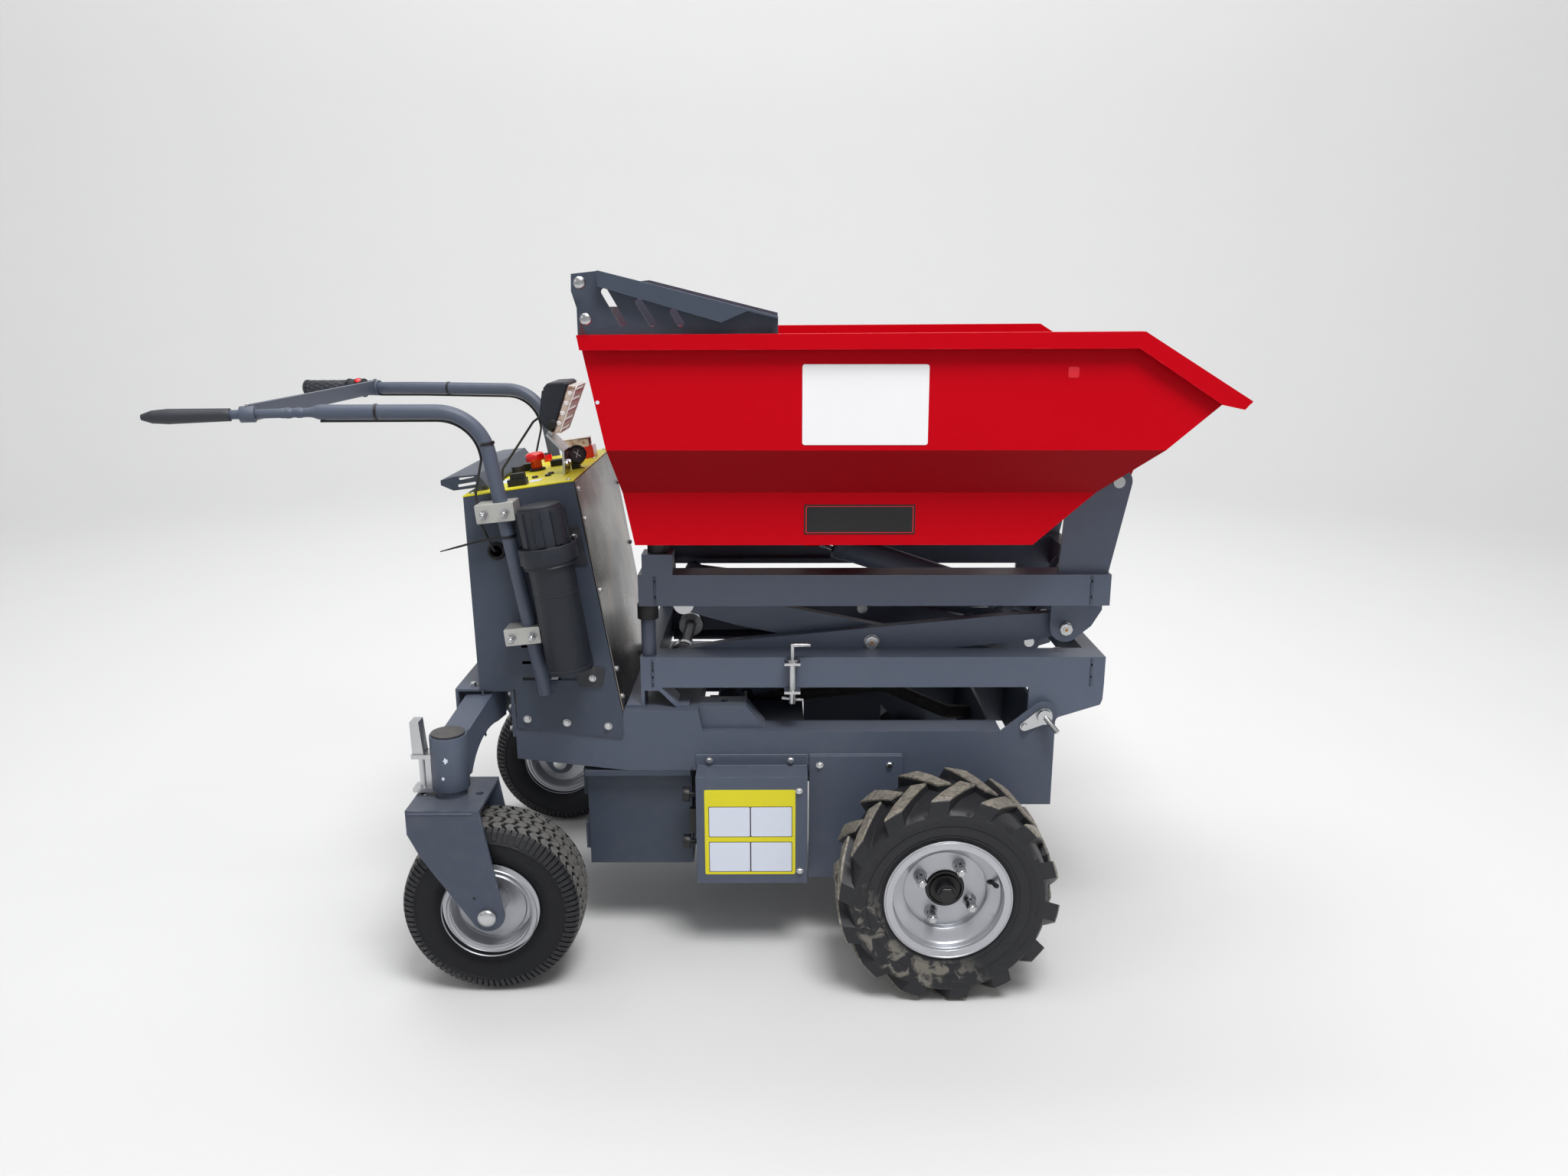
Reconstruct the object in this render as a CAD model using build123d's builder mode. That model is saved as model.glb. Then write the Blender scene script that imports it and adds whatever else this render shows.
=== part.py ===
from build123d import *
import os
from math import cos, hypot, radians, sin, tan

# Electric walk-behind site dumper: two drive wheels at the front, two castors at the
# back, a scissor lift on the chassis and a steel skip that tips forward from the lift.
# Sizes are millimetres. Places along the machine are counted forward from the drive
# axle and up from the ground. The machine faces +X and its near side is -Y.

# ---------------------------------------------------------------- driving sizes
lip_reach = 478  # drive axle to the skip's front lip
grip_reach = 1372  # drive axle to the ends of the grips
axle_x = (grip_reach - lip_reach) / 2  # puts the origin under the middle of the machine

# drive wheels, 16 x 6.50-8
drive_r = 200  # over the lugs
drive_track = 755  # between the centre planes of the tyres
drive_w = 148  # width of the carcass
drive_flange_r = 115.5  # rim flange
drive_rim_w = 132
drive_ridge_r = 170  # ring round the sidewall, where the lugs end
lug_h = 16
lug_w = 26
lugs_a_side = 14
stud_count = 4
stud_pcd = 104
stud_turn = 62  # angle of the first stud
disc_in = 48  # recess of the wheel disc behind the outer flange
hub_r = 34.5
stud_r = 6
nut_r = 9
axle_shaft_r = 17.5

# castors, 13 x 5.00-6
castor_r = 165
castor_w = 127
castor_y = 355  # centre plane of the castor
trail = 70  # swivel axis ahead of or behind the axle
castor_flange_r = 88.5
castor_rim_w = 100
fork_inside = 138  # between the fork's cheeks
fork_t = 6
fork_top = 370
castor_pin_r = 10
stem_r = 20
sleeve_r = 33
sleeve_top = 485
sleeve_gap = 14  # between the fork's top plate and the sleeve
lock_reach = 50  # swivel axis to the plunger that holds the castor straight

# chassis
web_y = 231  # outer face of the side webs
web_t = 5
flange_w = 60
deck_z = 440  # top of the side channels
rear_deck_z = 482
web_low = 361
web_front_low = 288
chassis_front = 226
ear_x = 203
ear_z = 472
ear_r = 26
beam_w = 110  # rear cross channel
beam_top = 527
beam_t = 6

# lift frames: box-section rails between two cross tubes
rail_h = 60
rail_w = 60
rail_y = 212  # outer face
end_w = 30  # width of the cross tubes
tube_t = 4
lower_z = 522  # underside of the lower frame
upper_z = 683  # underside of the upper frame

# scissor
half_arm = 373
centre_x = -121
centre_z = 594
frame_rear = centre_x - half_arm - 71
frame_front = centre_x + half_arm + 68
outer_rest = 5.5  # slope of the outer arms at rest, rising forward
inner_rest = 11.7  # slope of the inner arms at rest, rising rearward
arm_h = 56
arm_t = 22
arm_end_r = 20
outer_arm_y = 148  # outer face of the outer arms
inner_arm_y = 120
roller_r = 26
pin_r = 11
fit = 0.05  # radial clearance of a running fit
gap = 0.3  # between faces that meet

# skip
skip_floor_z = 823
skip_floor_rear = frame_rear + 11
skip_floor_front = 143
skip_rear_lean = 0.209  # run for each unit of rise
skip_front_rise = 0.854  # rise for each unit of run
skip_rim_rear_z = 1184
skip_rim_front_z = 1190
skip_kink_x = 293
skip_lip_z = 1078
skip_wall = 4
skip_rim_w = 20
skip_rim_drop = 24
skip_y = 371  # half width of the wall under the rim
skip_crease_hi = (996, 378)  # height and half width of the upper crease
skip_crease_lo = (915, 316)
skip_floor_y = 322
hinge_x = 325
hinge_z = 915

# control box and handlebars
box_front = frame_rear - 35  # foot of the sloping front panel
box_rear = box_front - 267
box_y = 235
box_t = 4
tube_r = 13
handle_y = 264  # centre of the handle tube beside the box
grip_y = 346
handle_z = 1050

# rear of the chassis, placed from the control box
beam_front = box_front - 204
beam_rear = beam_front - beam_w
chassis_rear = beam_front + gap
castor_x = beam_rear + 88  # castor axle


# ---------------------------------------------------------------- planes and shapes
def side(y):
    """Upright plane along the machine, facing -Y: local x forward, local y up."""
    return Plane(origin=(axle_x, y, 0), x_dir=(1, 0, 0), z_dir=(0, -1, 0))


def level(z):
    """Level plane, facing up."""
    return Plane(origin=(axle_x, 0, z))


def across(x):
    """Upright plane across the machine, facing forward: local x is +Y, local y up."""
    return Plane(origin=(axle_x + x, 0, 0), x_dir=(0, 1, 0), z_dir=(1, 0, 0))


def spot(x, y, z):
    return Vector(axle_x + x, y, z)


def panel(plane, points, thick, mode=Mode.ADD):
    """Plate with a polygonal outline on the plane, grown along the plane's normal."""
    with BuildSketch(plane) as shape:
        with BuildLine():
            Polyline(*points, close=True)
        make_face()
    extrude(shape.sketch, amount=thick, mode=mode)


def block(x, y, z, mode=Mode.ADD):
    """Box between two places on each axis."""
    outline = [(x[0], y[0]), (x[1], y[0]), (x[1], y[1]), (x[0], y[1])]
    panel(level(z[0]), outline, z[1] - z[0], mode)


def rod(x, z, r, y0, y1, mode=Mode.ADD):
    """Round bar across the machine from y0 to y1."""
    with BuildSketch(side(y0)) as shape:
        with Locations((x, z)):
            Circle(r)
    extrude(shape.sketch, amount=y0 - y1, mode=mode)


def post(x, y, r, z0, z1, mode=Mode.ADD):
    """Upright round bar."""
    with BuildSketch(level(z0)) as shape:
        with Locations((x, y)):
            Circle(r)
    extrude(shape.sketch, amount=z1 - z0, mode=mode)


def tapered(plane, a, b, ra, rb, thick, mode=Mode.ADD):
    """Link plate: two discs joined by their common tangents."""
    with BuildSketch(plane) as shape:
        with Locations(a):
            Circle(ra)
        with Locations(b):
            Circle(rb)
        make_hull()
    extrude(shape.sketch, amount=thick, mode=mode)


def tube_between(start, end, r, mode=Mode.ADD):
    """Round bar between two points."""
    along = end - start
    with BuildSketch(Plane(origin=start, z_dir=along)) as shape:
        Circle(r)
    extrude(shape.sketch, amount=along.length, mode=mode)


def both_sides():
    mirror(about=Plane.XZ)


def save(piece, name):
    piece.part.label = name
    export_step(piece.part, f"parts/{name}.step")
    return piece.part


def save_pair(piece, name):
    """The near piece and its mirror image on the far side, each in its own node."""
    save(piece, f"{name}_near")
    far = mirror(piece.part, about=Plane.XZ)
    far.label = f"{name}_far"
    export_step(far, f"parts/{name}_far.step")


os.makedirs("parts", exist_ok=True)

# ---------------------------------------------------------------- drive wheels
wheel_y = -drive_track / 2
wheel_axis = Axis((axle_x, 0, drive_r), (0, 1, 0))
# section planes through a wheel's axle: local x is +Y from its centre plane, local y up
drive_section = Plane(origin=(axle_x, wheel_y, drive_r), x_dir=(0, 1, 0), z_dir=(1, 0, 0))
carcass_r = drive_r - lug_h
bead_r = 103
drive_half = drive_w / 2
flange_half = drive_rim_w / 2
drive_seat = flange_half - 4 - gap  # half width between the rim's flanges

lug_x = (-44, 38)  # outer and inner ends of a tread bar along the tread
lug_root = drive_ridge_r - 14  # foot of a bar, inside the carcass
lug_base = Plane(origin=(axle_x, wheel_y, drive_r + lug_root))
with BuildPart() as lug:
    # one flat-sided tread bar, slanting from the shoulder to the middle of the tread
    plan = [
        (lug_x[0], -drive_half - 4),
        (lug_x[0] + lug_w * 1.3, -drive_half - 4),
        (lug_x[1] + lug_w * 0.5, 4),
        (lug_x[1] - lug_w * 0.5, 9),
    ]
    panel(lug_base, plan, drive_r - lug_root + 2)
    shoulder = [
        (-drive_half - 2.5, lug_root),
        (-drive_half - 2.5, drive_ridge_r - 1),
        (-drive_half + 3, drive_r - 6),
        (-drive_half + 12, drive_r),
        (12, drive_r),
        (12, lug_root),
    ]
    panel(drive_section.offset(-drive_half), shoulder, drive_w, Mode.INTERSECT)
    # the crown of the tread in three flats, above the foot of the bar
    crown = [(x, drive_r + (drive_r**2 - x**2) ** 0.5) for x in (-52, -14, 22, 56)]
    crown += [(crown[-1][0], drive_r + lug_root - 10), (crown[0][0], drive_r + lug_root - 10)]
    panel(side(wheel_y + 20), crown, drive_w, Mode.INTERSECT)

tyre_face = drive_half + 3  # the ring stands a little proud of the sidewall
with BuildPart() as tyre:
    with BuildSketch(drive_section) as section:
        # half section: width from the centre plane, radius
        half = [
            (drive_seat, bead_r),
            (drive_seat, drive_flange_r + 2),
            (drive_half - 4, drive_flange_r + 16),
            (drive_half, drive_ridge_r - 16),
            (tyre_face, drive_ridge_r - 9),
            (tyre_face, drive_ridge_r),
            (drive_half - 6, carcass_r - 7),
            (drive_half * 0.5, carcass_r),
        ]
        with BuildLine():
            Polyline(*half, *[(-w, r) for w, r in reversed(half)], close=True)
        make_face()
    revolve(section.sketch, axis=wheel_axis)
    # bars on both halves of the tread, half a pitch apart
    pitch = 360 / lugs_a_side
    other = mirror(lug.part, about=Plane.XZ.offset(-wheel_y), mode=Mode.PRIVATE)
    bars = [lug.part.rotate(wheel_axis, pitch * i) for i in range(lugs_a_side)]
    bars += [other.rotate(wheel_axis, pitch * (i + 0.5)) for i in range(lugs_a_side)]
    add(bars)
save_pair(tyre, "drive_tyre")

disc_z = disc_in - flange_half  # front face of the disc from the centre plane
well_r = bead_r - 24
rim_t = 3.5
with BuildPart() as rim:
    with BuildSketch(drive_section) as section:
        # half profile of the barrel, from the middle of the well out over the flange
        barrel = [
            (0, well_r),
            (flange_half - 40, well_r),
            (flange_half - 29, bead_r - gap),
            (flange_half - 4, bead_r - gap),
            (flange_half - 4, drive_flange_r),
            (flange_half, drive_flange_r),
            (flange_half, bead_r - rim_t),
            (flange_half - 26, bead_r - rim_t - 1),
            (flange_half - 37, well_r - rim_t),
            (0, well_r - rim_t),
        ]
        with BuildLine():
            Polyline(*barrel, close=True)
        make_face()
        mirror(about=Plane.YZ)
        with BuildLine():
            Polyline(
                (disc_z, hub_r + gap),
                (disc_z + 4, hub_r + gap),
                (disc_z + 4, well_r - 1),
                (disc_z, well_r - 1),
                close=True,
            )
        make_face()
    revolve(section.sketch, axis=wheel_axis)
    with BuildSketch(side(wheel_y + disc_z + 4)) as holes:
        with Locations((0, drive_r)):
            with PolarLocations(stud_pcd / 2, stud_count, start_angle=stud_turn):
                Circle(stud_r + gap)
    extrude(holes.sketch, amount=4, mode=Mode.SUBTRACT)
save_pair(rim, "drive_rim")

shaft_end = 250  # inner end of the wheel's shaft, inside the axle tube
disc_y = wheel_y + disc_z
with BuildPart() as hub:
    rod(0, drive_r, stud_pcd / 2 + nut_r + 4, disc_y + 4 + gap, disc_y + 16)
    # boss in the bore of the disc, stepped out to the nut and the shaft's end
    for r, reach in ((hub_r, -1), (27, 6), (18, 26)):
        rod(0, drive_r, r, disc_y - reach, disc_y + 10)
    rod(0, drive_r, axle_shaft_r, disc_y + 16, -shaft_end)
    # studs, each with its long nut
    for r, reach, root in ((stud_r, 5, 10), (nut_r, 16, -gap), (nut_r - 2.5, 34, -gap)):
        with BuildSketch(side(disc_y + root)) as studs:
            with Locations((0, drive_r)):
                with PolarLocations(stud_pcd / 2, stud_count, start_angle=stud_turn):
                    Circle(r)
        extrude(studs.sketch, amount=reach + root)
save_pair(hub, "drive_hub")

# ---------------------------------------------------------------- castors
swivel_x = castor_x - trail
castor_axis = Axis((axle_x + castor_x, 0, castor_r), (0, 1, 0))
castor_section = Plane(
    origin=(axle_x + castor_x, -castor_y, castor_r), x_dir=(0, 1, 0), z_dir=(1, 0, 0)
)
castor_bead_r = 77
castor_half = castor_w / 2
castor_flange_half = castor_rim_w / 2
castor_seat = castor_flange_half - 3 - gap
with BuildPart() as castor_tyre:
    with BuildSketch(castor_section) as section:
        # half section: width from the centre plane, radius
        half = [
            (castor_seat, castor_bead_r),
            (castor_seat, castor_flange_r + 2),
            (castor_half - 3, castor_r - 58),
            (castor_half, castor_r - 36),
            (castor_half - 6, castor_r - 17),
            (castor_half - 20, castor_r - 5),
            (castor_half - 36, castor_r),
        ]
        with BuildLine():
            Polyline(*half, *[(-w, r) for w, r in reversed(half)], close=True)
        make_face()
    revolve(section.sketch, axis=castor_axis)
save_pair(castor_tyre, "castor_tyre")

castor_hub_r = 24
castor_hub_half = fork_inside / 2 - 3
with BuildPart() as castor_rim:
    with BuildSketch(castor_section) as section:
        with BuildLine():
            Polyline(
                (-castor_flange_half, castor_flange_r),
                (-castor_flange_half + 3, castor_flange_r),
                (-castor_flange_half + 3, castor_bead_r - gap),
                (castor_flange_half - 3, castor_bead_r - gap),
                (castor_flange_half - 3, castor_flange_r),
                (castor_flange_half, castor_flange_r),
                (castor_flange_half, castor_bead_r - 3),
                (20, castor_bead_r - 6),
                (6, castor_hub_r),
                (castor_hub_half, castor_hub_r),
                (castor_hub_half, castor_pin_r + fit),
                (-castor_hub_half, castor_pin_r + fit),
                (-castor_hub_half, castor_hub_r),
                (-6, castor_hub_r),
                (-20, castor_bead_r - 6),
                (-castor_flange_half, castor_bead_r - 3),
                close=True,
            )
        make_face()
    revolve(section.sketch, axis=castor_axis)
save_pair(castor_rim, "castor_rim")

cheek_y = fork_inside / 2 + fork_t  # outer face of a cheek from the castor's centre plane
fork_rear = castor_x - 133
fork_front = castor_x - 3
with BuildPart() as fork:
    block(
        (fork_rear, fork_front),
        (-castor_y - cheek_y, -castor_y + cheek_y),
        (fork_top - fork_t, fork_top),
    )
    cheek = [
        (fork_rear, fork_top - fork_t),
        (fork_rear, fork_top - 45),
        (fork_rear + 22, fork_top - 92),
        (castor_x - 24, castor_r - 19),
        (castor_x, castor_r - 30),
        (castor_x + 27, castor_r - 14),
        (castor_x + 28, castor_r + 10),
        (fork_front, fork_top - fork_t),
    ]
    for outer_face in (-castor_y - cheek_y + fork_t, -castor_y + cheek_y):
        panel(side(outer_face), cheek, fork_t)
        rod(castor_x, castor_r, 30, outer_face, outer_face - fork_t)
        rod(castor_x, castor_r, castor_pin_r, outer_face, outer_face - fork_t, Mode.SUBTRACT)
    # the plunger drops into one hole with the wheel trailing, the other with it leading
    for reach in (-lock_reach, lock_reach):
        post(swivel_x + reach, -castor_y, 7.5, fork_top - fork_t, fork_top, Mode.SUBTRACT)
    post(swivel_x, -castor_y, sleeve_r - 6, fork_top, fork_top + sleeve_gap - gap)
    post(swivel_x, -castor_y, stem_r, fork_top, sleeve_top - 12)
save_pair(fork, "castor_fork")

with BuildPart() as castor_pin:
    rod(castor_x, castor_r, castor_pin_r, -castor_y - cheek_y, -castor_y + cheek_y)
    for face, step in ((-castor_y - cheek_y, -9), (-castor_y + cheek_y, 9)):
        rod(castor_x, castor_r, 16, face, face + step)
save_pair(castor_pin, "castor_pin")

# ---------------------------------------------------------------- chassis
deck_x = (box_front, box_front + 144)  # raised rear deck
hat_x = (deck_x[0] + 7, deck_x[1] - 18)
power_x = (box_front + 141, box_front + 352)
battery_x = (box_front - 76, power_x[0] - 13)
low_box_z = 152
lift_foot_x = centre_x - 279  # foot of the lift cylinder
lift_foot_z = 450
web_in = web_y - web_t
pad_x = box_front + 192.4  # pad with a hole beside the hat bracket
pad_top = rear_deck_z + 4
pad_y = 184
shelf_top = 428  # cross member under the foot of the lift cylinder
plate_x = 110  # cross plate ahead of the gearbox
plate_t = 6
cylinder_pin_y = 26  # outer face of the lugs at a cylinder's foot
lug_t = 10
with BuildPart() as chassis:
    # near side channel: web, top flange, front ear and deeper front end
    web = [
        (chassis_rear, web_low + 25),
        (deck_x[0] + 7, web_low),
        (-90, web_low),
        (-30, web_front_low),
        (chassis_front, web_front_low),
        (chassis_front, ear_z - 6),
        (ear_x + ear_r * 0.55, ear_z + ear_r * 0.85),
        (ear_x - ear_r * 0.5, ear_z + ear_r * 0.9),
        (123, deck_z),
        (deck_x[1] + 8, deck_z),
        (deck_x[1], rear_deck_z),
        (deck_x[0], rear_deck_z),
        (deck_x[0] - 40, deck_z + 15),
        (chassis_rear, deck_z + 30),
    ]
    panel(side(-web_in), web, web_t)
    rod(ear_x, ear_z, ear_r, -web_in, -web_y)
    rod(ear_x, ear_z, pin_r, -web_in, -web_y, Mode.SUBTRACT)
    block((deck_x[1], 123), (-web_in, -web_y + flange_w), (deck_z - web_t, deck_z))
    block(deck_x, (-web_in, 0), (rear_deck_z - web_t, rear_deck_z))
    block((deck_x[1] - 4, deck_x[1]), (-web_in, 0), (deck_z - web_t, rear_deck_z - web_t))
    pad = [(pad_x - 48, deck_z), (pad_x - 48, pad_top), (pad_x + 42, pad_top), (pad_x + 78, deck_z)]
    panel(side(-pad_y + 24), pad, 55)
    post(pad_x, -pad_y, 7, pad_top - 8, pad_top, Mode.SUBTRACT)
    # cross members between the webs
    for x0, x1, z0, z1 in (
        (lift_foot_x - 30, lift_foot_x + 30, shelf_top - 30, shelf_top),
        (plate_x, plate_x + plate_t, 300, deck_z - web_t),
        (chassis_front - 6, chassis_front, web_front_low, deck_z),
        (deck_x[0] - 100, deck_x[0] - 94, web_low + 25, deck_z + 15),
    ):
        block((x0, x1), (-web_in, 0), (z0, z1))
    both_sides()
    # lugs for the foot of the lift cylinder
    for face in (-cylinder_pin_y + lug_t, cylinder_pin_y):
        tapered(side(face), (lift_foot_x, lift_foot_z), (lift_foot_x, shelf_top - 8), 20, 28, lug_t)
    rod(lift_foot_x, lift_foot_z, pin_r, -cylinder_pin_y, cylinder_pin_y, Mode.SUBTRACT)
save(chassis, "chassis")

with BuildPart() as rear_beam:
    # inverted channel across the back, its ends open
    rear_edge, front_edge = beam_top - 57, beam_top - 97
    channel = [
        (beam_rear, rear_edge),
        (beam_rear, beam_top),
        (beam_front, beam_top),
        (beam_front, front_edge),
        (beam_front - beam_t, front_edge),
        (beam_front - beam_t, beam_top - beam_t),
        (beam_rear + beam_t, beam_top - beam_t),
        (beam_rear + beam_t, rear_edge),
    ]
    panel(side(web_y), channel, 2 * web_y)
save(rear_beam, "rear_beam")

outrigger_z = 455
outrigger_foot = fork_top + 28  # underside of the arm at the sleeve
arm_inner_y = castor_y - 165  # where the arm meets the straight middle
splay_run = 0.2  # forward run of the arm for each unit inward
outrigger_top = beam_top - beam_t - gap
with BuildPart() as outrigger:
    # cross beam inside the channel, drooping to the castor sleeve on each side
    splay = Vector(splay_run, 1, 0).normalized()
    sleeve_foot = spot(swivel_x, -castor_y, 0)
    swept = Plane(origin=sleeve_foot, x_dir=splay, z_dir=splay.cross(Vector(0, 0, 1)))
    with BuildSketch(swept) as arm:
        with BuildLine():
            under = ThreePointArc((34, outrigger_foot), (72, 440), (150, outrigger_z))
            Polyline(
                under @ 1,
                (190, outrigger_z),
                (190, outrigger_top),
                (150, outrigger_top),
                (34, sleeve_top - 2),
                (0, sleeve_top - 2),
                (0, outrigger_foot),
                under @ 0,
            )
        make_face()
    extrude(arm.sketch, amount=25, both=True)
    post(swivel_x, -castor_y, sleeve_r, fork_top + sleeve_gap, sleeve_top)
    post(swivel_x, -castor_y, stem_r + fit, fork_top + sleeve_gap, sleeve_top - 10, Mode.SUBTRACT)
    both_sides()
    joint_x = swivel_x + splay_run * (castor_y - arm_inner_y)
    block((joint_x - 25, joint_x + 25), (-arm_inner_y, arm_inner_y), (outrigger_z, outrigger_top))
save(outrigger, "outrigger_beam")

with BuildPart() as caps:
    post(swivel_x, -castor_y, sleeve_r - 3, sleeve_top, sleeve_top + 4)
    both_sides()
save(caps, "sleeve_caps")

lock_z = fork_top + 8  # foot of the lock, clear of the turning fork
lock_x = swivel_x - lock_reach
with BuildPart() as locks:
    # bracket behind the sleeve with a sprung plunger and the pedal that lifts it
    level_parts = (
        # rear and front x, half width, foot and top z
        (lock_x - 14, lock_x + 34, 17, lock_z + 65, lock_z + 73),
        (lock_x + 9, lock_x + 36, 13, lock_z + 8, lock_z + 65),
        (lock_x - 16, lock_x + 20, 15, lock_z, lock_z + 8),
    )
    for x0, x1, half, z0, z1 in level_parts:
        block((x0, x1), (-castor_y - half, -castor_y + half), (z0, z1))
    post(lock_x, -castor_y, 6, lock_z + 8, lock_z + 65)
    pedal = [
        (lock_x - 12, lock_z + 73),
        (lock_x + 8, lock_z + 73),
        (lock_x + 3, lock_z + 134),
        (lock_x - 13, lock_z + 134),
    ]
    panel(side(-castor_y + 14), pedal, 28)
    post(swivel_x, -castor_y, sleeve_r + gap, lock_z, lock_z + 140, Mode.SUBTRACT)
    both_sides()
save(locks, "swivel_locks")

battery_y = 205
with BuildPart() as battery:
    block(battery_x, (-battery_y, battery_y), (low_box_z, web_low - gap))
    block(battery_x, (-web_y, web_y), (web_low - 12, web_low - gap))
    # catches on the rear face
    for y in (-battery_y + 30, battery_y - 30):
        for z in (210, 325):
            block((battery_x[0] - 8, battery_x[0]), (y - 25, y + 25), (z - 28, z + 28))
save(battery, "battery_box")

power_y = 290  # face of the power unit box
power_top = 372
flange_top = power_top + 20
with BuildPart() as power:
    block(power_x, (-power_y, battery_y), (low_box_z, web_low - gap))
    block(power_x, (-power_y, -web_y - gap), (web_low - gap, power_top))
    # flange up the web and a strip folded over the joint
    block((power_x[0] - 2, power_x[1] + 3), (-web_y - 3, -web_y - gap), (power_top, flange_top))
save(power, "power_unit_box")

with BuildPart() as power_knobs:
    # two knobs that hold the box's back cover, and the cover's handle
    knob_y = -power_y + 28
    for z in (227, 325):
        for reach, depth, r in ((13, 13 - gap, 5), (27, 14, 14)):
            with BuildSketch(across(power_x[0] - reach)) as grip:
                with Locations((knob_y, z)):
                    Circle(r)
            extrude(grip.sketch, amount=depth)
    block((power_x[0] - 14, power_x[0] - gap), (knob_y - 6, knob_y + 6), (247, 297))
save(power_knobs, "power_box_knobs")

with BuildPart() as covers:
    block((power_x[1] + 4, -64), (-web_y - 4, -web_y - gap), (134, flange_top))
    both_sides()
save(covers, "drive_covers")

axle_end = web_y + 50  # outer ends of the axle tubes
gearbox_half = 65  # half height of the gearbox, about the axle
with BuildPart() as transaxle:
    # gearbox and motor as one block, with the axle tubes that carry the wheel shafts
    block((-60, 60), (-150, 150), (drive_r - gearbox_half, drive_r + gearbox_half))
    block((-50, 50), (-web_y, web_y), (drive_r + gearbox_half - 3, web_front_low - gap))
    rod(0, drive_r, 30, -axle_end, axle_end)
    for y in (-1, 1):
        rod(0, drive_r, axle_shaft_r + fit, y * axle_end, y * (shaft_end - 4), Mode.SUBTRACT)
save(transaxle, "transaxle")

# ---------------------------------------------------------------- lower lift frame
rail_in = rail_y - rail_w
pivot_in = centre_x + half_arm * cos(radians(inner_rest))
pivot_in_z = centre_z - half_arm * sin(radians(inner_rest))
top_roll_x = centre_x - half_arm * cos(radians(inner_rest))
top_roll_z = centre_z + half_arm * sin(radians(inner_rest))
pivot_out = centre_x + half_arm * cos(radians(outer_rest))
pivot_out_z = centre_z + half_arm * sin(radians(outer_rest))
low_roll_x = centre_x - half_arm * cos(radians(outer_rest))
low_roll_z = centre_z - half_arm * sin(radians(outer_rest))
bracket_y = 172  # outer face of the upper frame's pin brackets
bracket_t = 12
bracket_r = 30


def lift_frame(z):
    """Two box rails between box cross tubes, with their hollow middles."""
    block((frame_rear, frame_front), (-rail_y, 0), (z, z + rail_h))
    block((frame_rear + end_w, frame_front - end_w), (-rail_in, 0), (z, z + rail_h), Mode.SUBTRACT)
    block(
        (frame_rear + end_w, frame_front - end_w),
        (-rail_y + tube_t, -rail_in - tube_t),
        (z + tube_t, z + rail_h - tube_t),
        Mode.SUBTRACT,
    )
    block(
        (frame_front - end_w + tube_t, frame_front - tube_t),
        (-rail_y + tube_t, 0),
        (z + tube_t, z + rail_h - tube_t),
        Mode.SUBTRACT,
    )
    block(
        (frame_rear + tube_t, frame_rear + end_w - tube_t),
        (-rail_y + tube_t, 0),
        (z + tube_t, z + rail_h - tube_t),
        Mode.SUBTRACT,
    )


track_x = (frame_rear + 35, frame_rear + 375)
with BuildPart() as lower_frame:
    lift_frame(lower_z)
    # shelf that the lower rollers run on
    shelf_z = low_roll_z - roller_r - gap
    block(track_x, (-rail_in, -inner_arm_y + arm_t), (shelf_z - 6, shelf_z))
    # brackets for the inner arms' pins and drop plates for the chassis pins
    tapered(
        side(-rail_in + bracket_t),
        (pivot_in, pivot_in_z),
        (pivot_in, lower_z + 28),
        bracket_r,
        bracket_r,
        bracket_t,
    )
    rod(pivot_in, pivot_in_z, pin_r, -rail_in + bracket_t, -rail_in - 30, Mode.SUBTRACT)
    drop = [
        (ear_x - 26, lower_z),
        (ear_x - 26, ear_z - 20),
        (ear_x + 22, ear_z - 20),
        (ear_x + 34, ear_z - 11),
        (frame_front - 27, ear_z + 7),
        (frame_front - 5, ear_z + 14),
        (frame_front - 1, ear_z + 24),
        (frame_front, lower_z),
    ]
    panel(side(-rail_y + 10), drop, 10)
    rod(ear_x, ear_z, pin_r, -rail_y + 10, -rail_y, Mode.SUBTRACT)
    # hat bracket under the rear corner
    hat = [
        (hat_x[0], rear_deck_z),
        (hat_x[0] + 34, rear_deck_z),
        (hat_x[0] + 34, lower_z - 6),
        (hat_x[0] + 62, lower_z - 6),
        (hat_x[1] - 24, rear_deck_z),
        (hat_x[1], rear_deck_z),
        (hat_x[1], rear_deck_z + 6),
        (hat_x[1] - 22, rear_deck_z + 6),
        (hat_x[0] + 66, lower_z),
        (hat_x[0] + 28, lower_z),
        (hat_x[0] + 28, rear_deck_z + 6),
        (hat_x[0], rear_deck_z + 6),
    ]
    panel(side(-rail_in), hat, rail_w)
    both_sides()
save(lower_frame, "lower_frame")

with BuildPart() as front_pins:
    # pins through the chassis ears, each with its lock plate and handle
    rod(ear_x, ear_z, pin_r - fit, -rail_y + 10, -web_y - 4)
    tapered(side(-web_y), (ear_x, ear_z), (ear_x - 36, ear_z - 21), 16, 9, 5)
    rod(ear_x, ear_z, 14, -web_y - 5, -web_y - 14)
    tube_between(spot(ear_x, -web_y - 10, ear_z), spot(ear_x + 20, -web_y - 34, ear_z - 22), 5)
    rod(ear_x - 36, ear_z - 21, 6, -web_y - 5, -web_y - 10)
    both_sides()
save(front_pins, "chassis_pins")

post_x = frame_rear + end_w / 2
post_y = rail_y - 22
cap_z = upper_z - 28
with BuildPart() as rest_posts:
    post(post_x, -post_y, 14, lower_z + rail_h + gap, cap_z - gap)
    both_sides()
save(rest_posts, "rest_posts")

with BuildPart() as rest_caps:
    post(post_x, -post_y, 20, cap_z, upper_z - gap)
    both_sides()
save(rest_caps, "rest_caps")

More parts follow.
